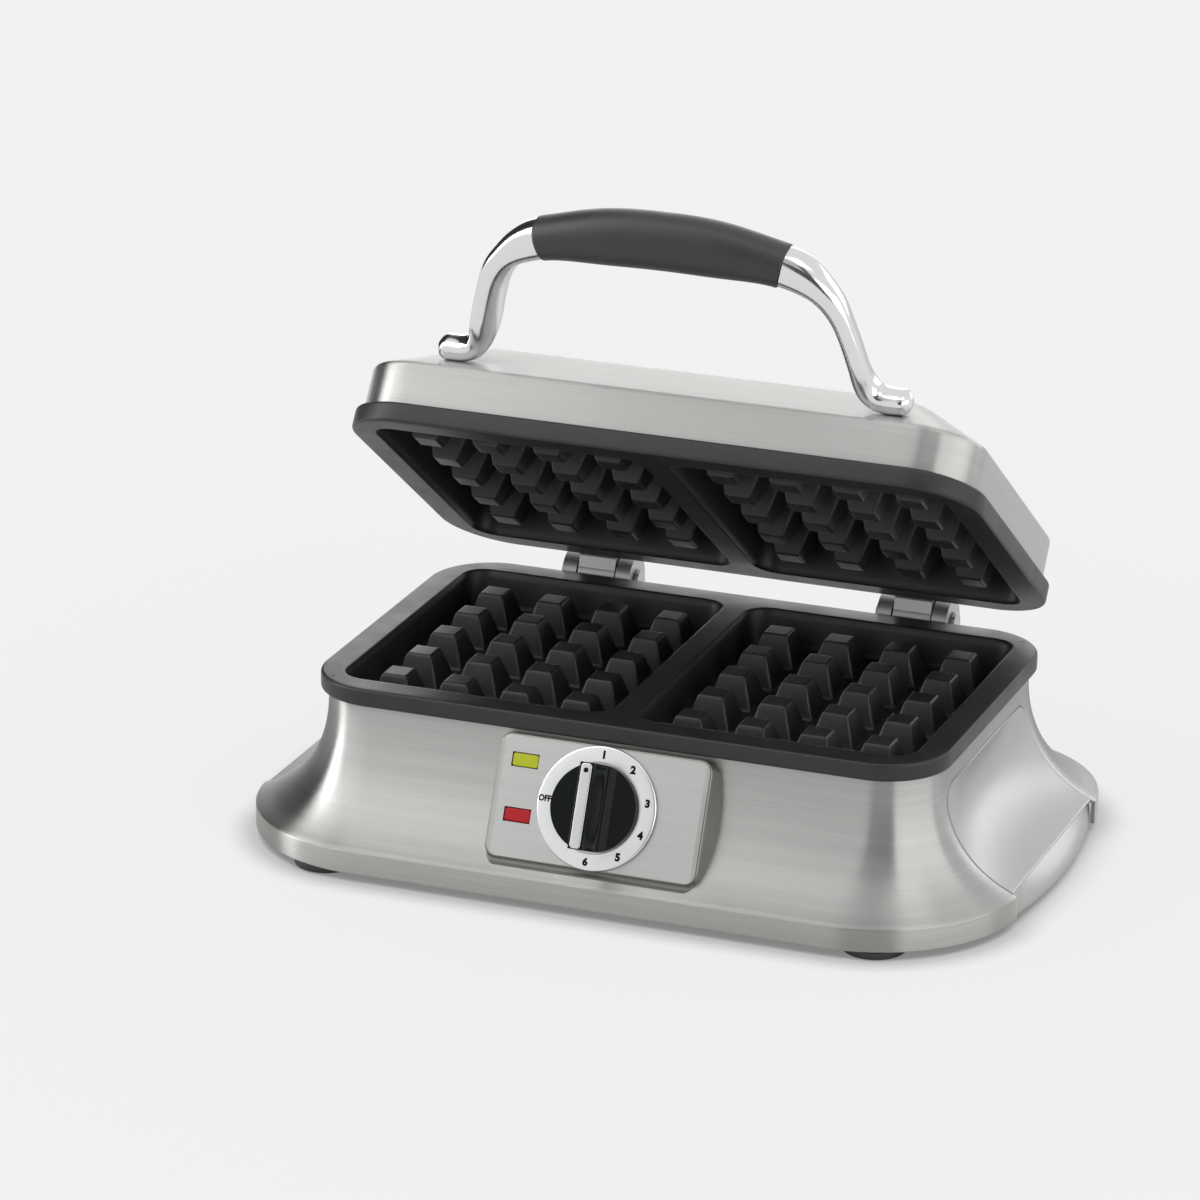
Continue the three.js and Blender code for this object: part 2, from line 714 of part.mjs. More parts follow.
// Heating element: a loop lying at z = 0 whose two ends turn down at the rear
function elementLoop() {
  const path = new THREE.CurvePath();
  const corners = [
    [-terminalX, elementHalfY, -terminalDrop],
    [-terminalX, elementHalfY, 0],
    [-elementHalfX, elementHalfY, 0],
    [-elementHalfX, -elementHalfY, 0],
    [elementHalfX, -elementHalfY, 0],
    [elementHalfX, elementHalfY, 0],
    [terminalX, elementHalfY, 0],
    [terminalX, elementHalfY, -terminalDrop],
  ].map((corner) => new THREE.Vector3(...corner));
  let from = corners[0];
  corners.slice(1, -1).forEach((corner, place) => {
    const next = corners[place + 2];
    const ends = place === 0 || place === corners.length - 3;
    const bend = ends ? terminalBend : elementBend;
    const before = corner.clone().add(from.clone().sub(corner).setLength(bend));
    const after = corner.clone().add(next.clone().sub(corner).setLength(bend));
    path.add(new THREE.LineCurve3(from, before));
    path.add(new THREE.QuadraticBezierCurve3(before, corner, after));
    from = after;
  });
  path.add(new THREE.LineCurve3(from, corners.at(-1)));
  const section = new THREE.Shape();
  section.absarc(0, 0, elementRadius, 0, Math.PI * 2);
  const steps = 52;
  return new THREE.ExtrudeGeometry(section, { steps, extrudePath: path, curveSegments: tubeSides / 2 });
}

// Element clamp: a strap bent over the tube, its feet on the back of the plate at z = 0
function elementClamp() {
  const inner = elementRadius + fitGap;
  const outer = inner + clampThickness;
  const under = fitGap + 2 * elementRadius + fitGap;
  const shape = new THREE.Shape();
  shape.moveTo(-outer - clampFoot, -fitGap);
  shape.lineTo(-inner, -fitGap);
  shape.lineTo(-inner, -under);
  shape.lineTo(inner, -under);
  shape.lineTo(inner, -fitGap);
  shape.lineTo(outer + clampFoot, -fitGap);
  shape.lineTo(outer + clampFoot, -fitGap - clampThickness);
  shape.lineTo(outer, -fitGap - clampThickness);
  shape.lineTo(outer, -under - clampThickness);
  shape.lineTo(-outer, -under - clampThickness);
  shape.lineTo(-outer, -fitGap - clampThickness);
  shape.lineTo(-outer - clampFoot, -fitGap - clampThickness);
  shape.closePath();
  return sideShape(shape, clampWidth);
}

// Reflector: a shallow tray, its edge on the back of the plate at z = 0
function reflectorTray(cutters) {
  const outlineAt = (inset) =>
    roundedRectangle(2 * (reflectorHalfX - inset), 2 * (reflectorHalfY - inset), reflectorRadius - inset);
  const under = -reflectorSpace - reflectorSheet;
  const tray = loft([
    ringAt(outlineAt(reflectorSheet), -reflectorSpace),
    ringAt(outlineAt(reflectorSheet), -fitGap),
    ringAt(outlineAt(0), -fitGap),
    ringAt(outlineAt(0), under),
  ]);
  return carve(tray, cutters);
}

function terminalHoles() {
  return [-1, 1].map((side) =>
    post(terminalHoleRadius, -reflectorSpace - reflectorSheet - cutOverrun, -fitGap, smallRoundSteps).translate(
      side * terminalX,
      elementHalfY,
      0
    )
  );
}

// The three heating parts behind a plate, named for it
function makeHeatingSet(parent, prefix, extraHoles) {
  const element = addPiece(parent, `${prefix}_heating_element`, elementLoop(), elementSheath());
  element.position.z = -fitGap - elementRadius;
  for (const [word, side] of [['left', -1], ['right', 1]]) {
    const clamp = addPiece(parent, `${prefix}_element_clamp_${word}`, elementClamp(), zincSteel());
    clamp.position.set(side * clampX, -elementHalfY, 0);
  }
  addPiece(parent, `${prefix}_heat_reflector`, reflectorTray([...terminalHoles(), ...extraHoles]), sheetAluminium());
}

function makeHeating() {
  const lowerBackGroup = new THREE.Group();
  lowerBackGroup.position.z = lowerBack;
  baseGroup.add(lowerBackGroup);
  const capillaryHole = post(capillaryHoleRadius, -reflectorSpace - reflectorSheet - cutOverrun, -fitGap, smallRoundSteps);
  capillaryHole.translate(bulbHalfLength, -reflectorHalfY / 2 - terminalX / 2, 0);
  makeHeatingSet(lowerBackGroup, 'lower', [capillaryHole]);
  const upperBackGroup = new THREE.Group();
  upperBackGroup.position.z = panDepth;
  upperBackGroup.rotation.y = Math.PI;
  lidGroup.add(upperBackGroup);
  makeHeatingSet(upperBackGroup, 'upper', []);
}

// Bottom cover and feet
function makeBottom() {
  const outline = skirtOutline(coverReach);
  const cutters = [];
  for (const side of [-1, 1]) {
    for (let slot = 0; slot < ventCount; slot += 1) {
      const y = (slot - (ventCount - 1) / 2) * ventPitch;
      cutters.push(boxOf(ventLength, ventWidth, 2 * coverTop, side * ventFieldX, y, skirtBottom));
    }
    for (const end of [-1, 1]) {
      const hole = post(footScrewRadius + fitGap, -cutOverrun, coverTop + cutOverrun, smallRoundSteps);
      cutters.push(hole.translate(side * footX, end * footY, 0));
    }
  }
  const cover = carve(prism(outline, skirtBottom, coverTop), cutters);
  addPiece(baseGroup, 'bottom_cover', cover, darkPlastic());
}

const sideWords = [['left', -1], ['right', 1]];
const endWords = [['front', -1], ['rear', 1]];

function makeFeet() {
  const footTop = skirtBottom - fitGap;
  const hole = footScrewRadius + fitGap;
  const footProfile = [
    [hole, footTop],
    [footRadius, footTop],
    [footRadius, footEdgeRound],
    [footRadius - footEdgeRound, 0],
    [footRecessRadius, 0],
    [footRecessRadius, footRecessDepth],
    [hole, footRecessDepth],
    [hole, footTop],
  ];
  const headTop = footRecessDepth - fitGap;
  const headLow = headTop - footScrewHeadHeight;
  const screwProfile = [
    [0, headLow],
    [footScrewHeadRadius, headLow],
    [footScrewHeadRadius, headTop],
    [footScrewRadius, headTop],
    [footScrewRadius, coverTop + footScrewReach],
    [0, coverTop + footScrewReach],
  ];
  for (const [endWord, end] of endWords) {
    for (const [sideWord, side] of sideWords) {
      const foot = addPiece(baseGroup, `foot_${endWord}_${sideWord}`, turned(footProfile), rubber());
      foot.position.set(side * footX, end * footY, 0);
      const screw = addPiece(
        baseGroup,
        `foot_screw_${endWord}_${sideWord}`,
        turned(screwProfile, smallRoundSteps),
        zincSteel()
      );
      screw.position.set(side * footX, end * footY, 0);
    }
  }
}

// Control panel: local z is 0 on the face and grows outward, y runs up the face
function panelRing(inset, depth) {
  const spread = panelFlareShare * depth;
  const width = panelWidth - 2 * inset + 2 * spread;
  const height = panelHeight - 2 * inset + spread;
  const radius = Math.max(panelCornerRadius - inset + spread / 2, panelWall / 2);
  return ringAt(roundedRectangle(width, height, radius, 0, -spread / 2), -depth);
}

function lensHole(y) {
  return boxOf(lensWidth + 2 * fitGap, lensHeight + 2 * fitGap, panelWall + 2 * cutOverrun, -lensX, y, -panelWall / 2);
}

function makePanel() {
  const outside = loft([panelRing(panelEdgeBevel, 0), panelRing(0, panelEdgeBevel), panelRing(0, panelDeep)]);
  const inside = loft([panelRing(panelWall, panelWall), panelRing(panelWall, panelDeep + cutOverrun)]);
  const shaftHole = post(shaftRadius + turnGap, -panelDeep, cutOverrun);
  const bezel = toSolid(inPanel(carve(outside, [inside, shaftHole, lensHole(greenLensY), lensHole(redLensY)])));
  addPiece(baseGroup, 'control_panel', toGeometry(bezel.subtract(toSolid(skirtFilled()))), satinSilver());
}

function makeDial() {
  const floorTop = fitGap + ringFloor;
  const ringTop = fitGap + ringHeight;
  const ring = turned([
    [shaftRadius + turnGap, fitGap],
    [ringRadius, fitGap],
    [ringRadius, ringTop - ringEdgeBevel],
    [ringRadius - ringEdgeBevel, ringTop],
    [ringInner, ringTop],
    [ringInner, floorTop],
    [shaftRadius + turnGap, floorTop],
    [shaftRadius + turnGap, fitGap],
  ], 2 * roundSteps);
  addPiece(panelGroup, 'dial_ring', ring, satinSilver());

  const knobLow = floorTop + knobLift;
  const discTop = knobLow + knobDisc;
  const barTop = discTop + knobBarHeight;
  const disc = turned([
    [0, knobLow],
    [knobRadius, knobLow],
    [knobRadius, discTop - ringEdgeBevel],
    [knobRadius - ringEdgeBevel, discTop],
    [0, discTop],
  ], 2 * roundSteps);
  const barSection = (width, length, z) => ringAt(roundedRectangle(width, length, width / 3), z);
  const grip = loft([
    barSection(knobBarRoot, knobBarLength, discTop - knobDisc / 2),
    barSection(knobBarTop, knobBarLength - ringEdgeBevel, barTop),
  ]);
  const bore = post(shaftRadius + shaftBoreGap, -cutOverrun, knobLow + shaftIntoKnob);
  const groove = boxOf(
    inlayWidth + 2 * shaftBoreGap,
    inlayLength + 2 * shaftBoreGap,
    2 * inlayDepth,
    0,
    0,
    barTop
  );
  const trimmed = toSolid(grip).intersect(toSolid(post(knobRadius, -cutOverrun, barTop + cutOverrun, 2 * roundSteps)));
  const knob = carve(join(disc, [toGeometry(trimmed)]), [bore, groove]);
  addPiece(panelGroup, 'thermostat_knob', knob, blackPlastic());

  const inlayLow = barTop - inlayDepth + shaftBoreGap;
  const inlayTop = barTop + inlayProud;
  const inlay = prism(roundedRectangle(inlayWidth, inlayLength, inlayWidth / 4), inlayLow, inlayTop);
  addPiece(panelGroup, 'knob_inlay', inlay, chrome());

  const bodyTop = -panelWall - fitGap;
  const bodyLow = bodyTop - thermostatDepth;
  const shaft = post(shaftRadius, bodyTop - shaftTail, knobLow + shaftIntoKnob - shaftBoreGap);
  addPiece(panelGroup, 'thermostat_shaft', shaft, zincSteel());
  const socket = post(shaftRadius + turnGap, bodyTop - shaftTail - fitGap, cutOverrun);
  const body = carve(post(thermostatRadius, bodyLow, bodyTop), [socket]);
  addPiece(panelGroup, 'thermostat_body', body, paleCeramic());
}

function makeLights() {
  const flangeTop = -panelWall - fitGap;
  const flangeLow = flangeTop - lensFlangeThickness;
  const lampZ = flangeLow - fitGap - lampRadius;
  for (const [word, y, color] of [['green', greenLensY, 0xb7c41c], ['red', redLensY, 0xc8202b]]) {
    const face = prism(roundedRectangle(lensWidth, lensHeight, lensProud, -lensX, y), flangeLow, lensProud);
    const flange = boxOf(
      lensWidth + 2 * lensFlange,
      lensHeight + 2 * lensFlange,
      lensFlangeThickness,
      -lensX,
      y,
      (flangeTop + flangeLow) / 2
    );
    addPiece(panelGroup, `${word}_lens`, join(face, [flange]), finish(color, 0.2, 0));
    const lamp = addPiece(panelGroup, `${word}_lamp`, bar(lampRadius, -lampLength / 2, lampLength / 2, smallRoundSteps), finish(0xf0e4d8, 0.1, 0));
    lamp.position.set(-lensX, y, lampZ);
  }
  const holderTop = lampZ - lampRadius - fitGap;
  const holderHeight = greenLensY - redLensY + 2 * lampHolderMargin;
  const holder = boxOf(
    lampHolderWidth,
    holderHeight,
    lampHolderThickness,
    -lensX,
    (greenLensY + redLensY) / 2,
    holderTop - lampHolderThickness / 2
  );
  addPiece(panelGroup, 'lamp_holder', holder, darkPlastic());
}

// Parts inside the base
function makeInnerParts() {
  const bulbZ = lowerBack - fitGap - bulbRadius;
  const bulb = addPiece(baseGroup, 'thermostat_bulb', bar(bulbRadius, -bulbHalfLength, bulbHalfLength, smallRoundSteps), zincSteel());
  bulb.position.set(0, bulbY, bulbZ);

  const reflectorUnder = lowerBack - reflectorSpace - reflectorSheet;
  const fuseZ = reflectorUnder - fitGap - fuseRadius;
  const fuse = addPiece(baseGroup, 'thermal_fuse', bar(fuseRadius, -fuseHalfLength, fuseHalfLength, smallRoundSteps), zincSteel());
  fuse.position.set(fuseX, fuseY, fuseZ);

  const blockLow = coverTop + fitGap;
  const blockTop = blockLow + blockHeight;
  const slots = [-1, 0, 1].map((place) =>
    boxOf(blockSlotWidth, blockDepth + cutOverrun, 2 * blockSlotDepth, blockX + (place * blockWidth) / 3, blockY, blockTop)
  );
  const block = carve(boxOf(blockWidth, blockDepth, blockHeight, blockX, blockY, (blockLow + blockTop) / 2), slots);
  addPiece(baseGroup, 'terminal_block', block, paleCeramic());

  const bodyBack = -panelWall - 2 * fitGap - thermostatDepth;
  const behind = (x, up, back = 0) => {
    const place = new THREE.Vector3(x, up, bodyBack - back).applyMatrix4(panelGroup.matrixWorld);
    return [place.x, place.y, place.z];
  };
  const step = thermostatRadius / 2;
  const holeY = -reflectorHalfY / 2 - terminalX / 2;
  const capillary = tube([
    behind(0, step),
    behind(0, step, step / 2),
    [bulbHalfLength / 2, holeY - step, reflectorUnder - step],
    [bulbHalfLength, holeY, reflectorUnder - step / 2],
    [bulbHalfLength, holeY, lowerBack - reflectorSpace],
    [bulbHalfLength + step, holeY + step, bulbZ],
    [bulbHalfLength + step, bulbY - step / 2, bulbZ],
    [bulbHalfLength + step / 2, bulbY, bulbZ],
    [bulbHalfLength + fitGap, bulbY, bulbZ],
  ], capillaryRadius, 30, leadSides);
  addPiece(baseGroup, 'thermostat_capillary', capillary, finish(0xb87333, 0.35, 0.9));

  const terminalEnd = lowerBack - fitGap - elementRadius - terminalDrop - fitGap;
  const leads = [
    ['element_lead', [
      [terminalX, elementHalfY, terminalEnd],
      [terminalX, elementHalfY, terminalEnd - step / 2],
      [blockX - blockWidth / 3 - step / 2, blockY, blockTop + step],
      [blockX - blockWidth / 6, blockY, blockTop + step / 2],
      [blockX - blockWidth / 6, blockY, blockTop + fitGap],
    ]],
    ['fuse_lead', [
      [-terminalX, elementHalfY, terminalEnd],
      [-terminalX, elementHalfY, terminalEnd - step / 2],
      [fuseX + fuseHalfLength + 2 * step, fuseY + step, fuseZ - step / 2],
      [fuseX + fuseHalfLength + step / 2, fuseY, fuseZ],
      [fuseX + fuseHalfLength + fitGap, fuseY, fuseZ],
    ]],
    ['thermostat_lead', [
      [fuseX - fuseHalfLength - fitGap, fuseY, fuseZ],
      [fuseX - fuseHalfLength - step / 2, fuseY, fuseZ],
      [fuseX - step, 0, fuseZ - step],
      [-step, bulbY - 2 * step, blockTop + step],
      behind(-step, -step, step),
      behind(-step, -step),
    ]],
    ['supply_lead', [
      [blockX + blockWidth / 6, blockY, blockTop + fitGap],
      [blockX + blockWidth / 6, blockY, blockTop + step / 2],
      [blockX, blockY - 2 * blockDepth, blockTop],
      [step, bulbY - 2 * step, blockTop],
      behind(step, -step, step),
      behind(step, -step),
    ]],
  ];
  for (const [name, points] of leads) {
    addPiece(baseGroup, name, tube(points, leadRadius, 16, leadSides), finish(0xd9d4c4, 0.6, 0));
  }

  const glandLow = plateHalfY - glandInner;
  const glandHigh = plateHalfY + glandOuter;
  const gland = turned([
    [glandBore, glandLow],
    [glandCollar, glandLow],
    [glandCollar, glandLow + glandCollarLength],
    [glandRadius, glandLow + glandCollarLength],
    [glandRadius, glandHigh],
    [glandBore, glandHigh],
    [glandBore, glandLow],
  ]);
  const glandPiece = addPiece(baseGroup, 'cord_gland', gland, rubber());
  glandPiece.rotation.x = -Math.PI / 2;
  glandPiece.position.z = glandHeight;
}

// Lid cover, in the lid's frame: z is 0 at its mating plane
function makeLidCover() {
  const ring = (inset, radius, z) =>
    ringAt(roundedRectangle(plateWidth - 2 * inset, plateDepth - 2 * inset, radius), z);
  const low = upperRimHeight + fitGap;
  const wallRadius = plateCornerRadius - coverInset;
  const topInset = coverInset + bevelRun;
  const softRun = creaseRound * Math.cos(bevelAngle);
  const softRise = creaseRound * Math.sin(bevelAngle);
  const wall = lidCoverWall;
  const creaseDrop = wall * Math.tan((Math.PI / 2 - bevelAngle) / 2);
  const edgeInset = wall * Math.tan(bevelAngle / 2);
  const cover = loft([
    ring(topInset + edgeInset, plateauRadius - edgeInset, lidTop - wall),
    ring(coverInset + wall, wallRadius - wall, lidWallTop - creaseDrop),
    ring(coverInset + wall, wallRadius - wall, low),
    ring(coverInset, wallRadius, low),
    ring(coverInset, wallRadius, lidWallTop - creaseRound),
    ring(coverInset + softRun / 3, wallRadius - softRun / 3, lidWallTop),
    ring(coverInset + softRun, wallRadius - softRun / 2, lidWallTop + softRise),
    ring(topInset - softRun, plateauRadius + softRun / 2, lidTop - softRise),
    ring(topInset + softRun / 3, plateauRadius, lidTop - softRise / 6),
    ring(topInset + softRun, plateauRadius - softRun / 2, lidTop),
  ]);
  const screwHoles = [-1, 1].map((side) =>
    post(handleScrewRadius + fitGap, -cutOverrun, cutOverrun, smallRoundSteps)
      .translate(side * handleScrewX, -screwForward, 0)
      .applyMatrix4(seatGroup.matrix)
  );
  addPiece(lidGroup, 'lid_cover', carve(cover, screwHoles), brushedSteel());
}

// Hinge, drawn in Y and Z around the axis
function bracketShape() {
  const frontY = plateHalfY - hingeY - skirtTopInset - cutOverrun;
  const footZ = -bracketReach;
  const shape = new THREE.Shape();
  const clearY = -cheekRadius;
  const shoulder = -(lowerRimHeight - hingeDrop) - 2 * turnGap;
  shape.moveTo(clearY, 0);
  shape.lineTo(clearY, shoulder);
  shape.lineTo(frontY, shoulder);
  shape.lineTo(frontY, footZ);
  shape.lineTo(0, footZ);
  shape.lineTo(cheekRadius, -cheekRadius);
  shape.lineTo(cheekRadius, 0);
  shape.absarc(0, 0, cheekRadius, 0, Math.PI, false);
  return shape;
}

function armShape() {
  const rimTop = upperRimHeight + fitGap + matingHeight - hingeZ;
  const armHigh = armTop + fitGap + matingHeight - hingeZ;
  const rimY = -hingeBehind + turnGap;
  const wallY = -hingeBehind - coverInset + fitGap;
  const shape = new THREE.Shape();
  shape.moveTo(-knuckleRadius, 0);
  shape.lineTo(rimY, hingeDrop);
  shape.lineTo(rimY, rimTop + fitGap);
  shape.lineTo(wallY, rimTop + fitGap);
  shape.lineTo(wallY, armHigh);
  shape.lineTo(wallY + armThickness / 2, armHigh);
  shape.lineTo(wallY + 2 * armThickness, rimTop);
  shape.lineTo(knuckleRadius, 0);
  shape.absarc(0, 0, knuckleRadius, 0, -Math.PI, true);
  return shape;
}

function makeHinge() {
  const slot = armWidth + 2 * turnGap;
  const bracketWidth = slot + 2 * cheekThickness;
  const webTop = -bracketWebDrop;
  const slotHeight = 2 * cheekRadius - webTop;
  const bracket = carve(sideShape(bracketShape(), bracketWidth), [
    boxOf(slot, 4 * cheekRadius, slotHeight, 0, cheekRadius / 2, webTop + slotHeight / 2),
    bar(pinRadius + pinSeatGap, -bracketWidth, bracketWidth),
  ]);
  const arm = carve(sideShape(armShape(), armWidth), [bar(pinRadius + pinTurnGap, -bracketWidth, bracketWidth)]);
  const pinEnd = bracketWidth / 2 + fitGap;
  const pin = join(bar(pinRadius, -pinEnd, pinEnd), [
    bar(pinHeadRadius, pinEnd, pinEnd + pinHeadThickness),
    bar(pinHeadRadius, -pinEnd - pinHeadThickness, -pinEnd),
  ]);
  const filled = toSolid(skirtFilled());
  for (const [word, side] of sideWords) {
    const placed = bracket.clone().translate(side * hingeX, hingeY, hingeZ);
    addPiece(baseGroup, `hinge_bracket_${word}`, toGeometry(toSolid(placed).subtract(filled)), satinSilver());
    const pinPiece = addPiece(baseGroup, `hinge_pin_${word}`, pin.clone(), zincSteel());
    pinPiece.position.set(side * hingeX, hingeY, hingeZ);
    const armPiece = addPiece(lidPivot, `lid_hinge_arm_${word}`, arm.clone(), satinSilver());
    armPiece.position.x = side * hingeX;
  }
}

// Handle: local z leans forward from the bevel, the centre line lies in x and z
// Shares of the half span and of the rise, from the grip's middle out to the foot tip
const handleLineShares = [
  [0, 1], [0.15, 0.995], [0.3, 0.975], [0.43, 0.945], [0.525, 0.905], [0.61, 0.82], [0.69, 0.665],
  [0.745, 0.42], [0.77, 0.26], [0.795, 0.13], [0.83, 0.035], [0.885, 0], [0.94, 0], [1, 0],
];
function handleLine() {
  const half = handleLineShares.map(([across, up]) => [across * handleHalfSpan, up * handleRise + handleLift]);
  const left = half.slice(1).map(([x, z]) => [-x, z]).reverse();
  const points = [...left, ...half].map(([x, z]) => new THREE.Vector3(x, 0, z));
  return new THREE.CatmullRomCurve3(points, false, 'centripetal');
}

// Rounded section across the line: half size in the handle's plane, half size across it
function sectionRing(point, along, halfIn, halfAcross) {
  const inPlane = new THREE.Vector3(-along.z, 0, along.x);
  const across = new THREE.Vector3(0, 1, 0);
  const ring = [];
  for (let side = 0; side < handleSides; side += 1) {
    const angle = (side / handleSides) * 2 * Math.PI;
    ring.push(
      point.clone()
        .addScaledVector(inPlane, halfIn * Math.cos(angle))
        .addScaledVector(across, halfAcross * Math.sin(angle))
    );
  }
  return ring;
}

const blend = (low, high, share) => low + (high - low) * THREE.MathUtils.smoothstep(share, 0, 1);

// Half sizes of the chrome frame at a point of its legs
function frameHalves(point) {
  const up = (point.z - handleLift) / handleRise;
  const legIn = blend(handleLegHalf, handleBendHalf, (up - 0.35) / 0.35);
  const halfIn = blend(legIn, handleNeckHalf, (up - 0.7) / 0.2);
  const footShare = THREE.MathUtils.clamp(up / 0.3, 0, 1);
  return [blend(handleFootHalf, halfIn, footShare), blend(handleFootDepthHalf, handleDepthHalf, footShare)];
}

function makeHandle() {
  const line = handleLine();
  const total = line.getLength();
  const shareAtX = (x) => {
    let low = 0;
    let high = 1;
    for (let turn = 0; turn < 40; turn += 1) {
      const middle = (low + high) / 2;
      if (line.getPointAt(middle).x < x) {
        low = middle;
      } else {
        high = middle;
      }
    }
    return low;
  };
  const gripStart = shareAtX(-gripHalfLength);
  const gripEnd = shareAtX(gripHalfLength);
  const neck = fitGap / total;
  const shares = [];
  const legSteps = 17;
  for (let step = 0; step <= legSteps; step += 1) {
    shares.push((gripStart * step) / legSteps);
  }
  shares[legSteps] = gripStart - 2 * neck;
  const coreSteps = 8;
  const coreShares = [];
  for (let step = 0; step <= coreSteps; step += 1) {
    coreShares.push(gripStart + ((gripEnd - gripStart) * step) / coreSteps);
  }
  coreShares[0] = gripStart - neck;
  coreShares[coreSteps] = gripEnd + neck;
  const legRing = (share) => {
    const point = line.getPointAt(share);
    const [halfIn, halfAcross] = frameHalves(point);
    const tip = Math.min(share, 1 - share) * total;
    const roundShare = Math.sqrt(Math.min(1, (tip + handleFootHalf / 6) / (handleFootHalf * 1.1)));
    return sectionRing(point, line.getTangentAt(share), halfIn * roundShare, halfAcross * roundShare);
  };
  const coreRing = (share) =>
    sectionRing(line.getPointAt(share), line.getTangentAt(share), handleCoreHalf, handleCoreHalf);
  const farShares = [...shares].reverse().map((share) => 1 - share);
  const rings = [...shares.map(legRing), ...coreShares.map(coreRing), ...farShares.map(legRing)];
  const bored = [-1, 1].map((side) =>
    post(handleScrewRadius + pinSeatGap, -cutOverrun, handleScrewReach, smallRoundSteps)
      .translate(side * handleScrewX, -screwForward, 0)
      .rotateX(-handleLean)
  );
  const frame = carve(loft(rings), bored);
  addPiece(handleGroup, 'handle_frame', frame, chrome());

  const gripRing = (share, halfIn, halfAcross) => {
    const place = gripStart + (gripEnd - gripStart) * share;
    return sectionRing(line.getPointAt(place), line.getTangentAt(place), halfIn, halfAcross);
  };
  const outer = [];
  const inner = [];
  const bore = handleCoreHalf + fitGap;
  for (let step = 0; step <= coreSteps; step += 1) {
    const share = step / coreSteps;
    const swell = Math.sin(Math.PI * share);
    outer.push(gripRing(share, blend(gripEndHalf, gripMidHalf, swell), blend(gripEndDepthHalf, gripMidDepthHalf, swell)));
    inner.push(gripRing(share, bore, bore));
  }
  addPiece(handleGroup, 'handle_grip', loft([...outer, ...inner.reverse()], true), rubber());

  const headTop = -lidCoverWall - fitGap;
  const screw = turned([
    [0, headTop - handleScrewHeadThickness],
    [handleScrewHeadRadius, headTop - handleScrewHeadThickness],
    [handleScrewHeadRadius, headTop],
    [handleScrewRadius, headTop],
    [handleScrewRadius, handleScrewReach - fitGap],
    [0, handleScrewReach - fitGap],
  ], smallRoundSteps);
  for (const [word, side] of sideWords) {
    const piece = addPiece(seatGroup, `handle_screw_${word}`, screw.clone(), zincSteel());
    piece.position.set(side * handleScrewX, -screwForward, 0);
  }
}

makeBaseHousing();
makeSideGrips();
makePlates();
makeHeating();
makeBottom();
makeFeet();
makePanel();
makeDial();
makeLights();
makeInnerParts();
makeLidCover();
makeHinge();
makeHandle();

// The origin goes under the middle of the whole object
wafflemaker.updateMatrixWorld(true);
const middle = new THREE.Box3().setFromObject(wafflemaker, true).getCenter(new THREE.Vector3());
wafflemaker.position.y = -middle.y;

export default wafflemaker;
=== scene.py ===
"""Belgian waffle maker: fine surfaces, finishes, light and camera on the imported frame.

Sizes are millimetres in the drawing frame of each sub-assembly. A Place carries them into the row frame,
in metres.
"""

import logging
from collections.abc import Callable
from dataclasses import dataclass, replace
from enum import Enum
from math import atan2, cos, pi, radians, sin, tan

import bmesh
import bpy
import numpy as np
from mathutils import Matrix, Quaternion, Vector


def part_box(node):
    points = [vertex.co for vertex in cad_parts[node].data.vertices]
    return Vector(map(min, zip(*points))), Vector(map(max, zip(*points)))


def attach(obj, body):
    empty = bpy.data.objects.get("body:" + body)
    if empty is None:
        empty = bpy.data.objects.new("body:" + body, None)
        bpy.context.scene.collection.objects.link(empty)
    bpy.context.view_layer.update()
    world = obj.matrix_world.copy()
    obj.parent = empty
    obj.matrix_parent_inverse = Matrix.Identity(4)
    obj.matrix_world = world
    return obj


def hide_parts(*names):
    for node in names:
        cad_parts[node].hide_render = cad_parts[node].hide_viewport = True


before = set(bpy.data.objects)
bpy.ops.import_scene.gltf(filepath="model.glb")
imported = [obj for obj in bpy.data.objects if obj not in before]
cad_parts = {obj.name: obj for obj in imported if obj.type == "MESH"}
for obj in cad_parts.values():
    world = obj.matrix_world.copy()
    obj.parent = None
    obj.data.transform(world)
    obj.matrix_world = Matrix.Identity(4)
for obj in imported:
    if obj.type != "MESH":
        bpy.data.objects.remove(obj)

Array = np.ndarray
Pair = tuple[float, float]
Triple = tuple[float, float, float]
Socket = bpy.types.NodeSocket
MM = 0.001
SAME = 1e-6
log = logging.getLogger("waffle_maker")
logging.basicConfig(level=logging.INFO, format="%(name)s: %(message)s")
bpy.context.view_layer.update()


@dataclass(frozen=True)
class Place:
    """A drawing frame in millimetres: points are turned about +X, then moved."""

    matrix: tuple[tuple[float, ...], ...] = ((1, 0, 0, 0), (0, 1, 0, 0), (0, 0, 1, 0), (0, 0, 0, 1))

    def moved(self, x: float, y: float, z: float) -> "Place":
        """The same frame with its origin moved by x, y and z of its own."""
        return self._after(Matrix.Translation((x, y, z)))

    def tilted(self, angle: float) -> "Place":
        """The same frame turned by an angle in radians about its own +X."""
        return self._after(Matrix.Rotation(angle, 4, "X"))

    def _after(self, step: Matrix) -> "Place":
        """This frame followed by one more step in its own directions."""
        return Place(tuple(tuple(row) for row in Matrix(self.matrix) @ step))

    def metres(self, points: Array) -> Array:
        """Carries points, x, y and z on the last axis, into the row frame in metres."""
        m = np.array(self.matrix)
        return (points @ m[:3, :3].T + m[:3, 3]) * MM


def centre_of(node: str) -> Vector:
    """The middle of a node's box at rest, in millimetres."""
    low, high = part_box(node)
    return Vector([(a + b) / 2 / MM for a, b in zip(low, high)])


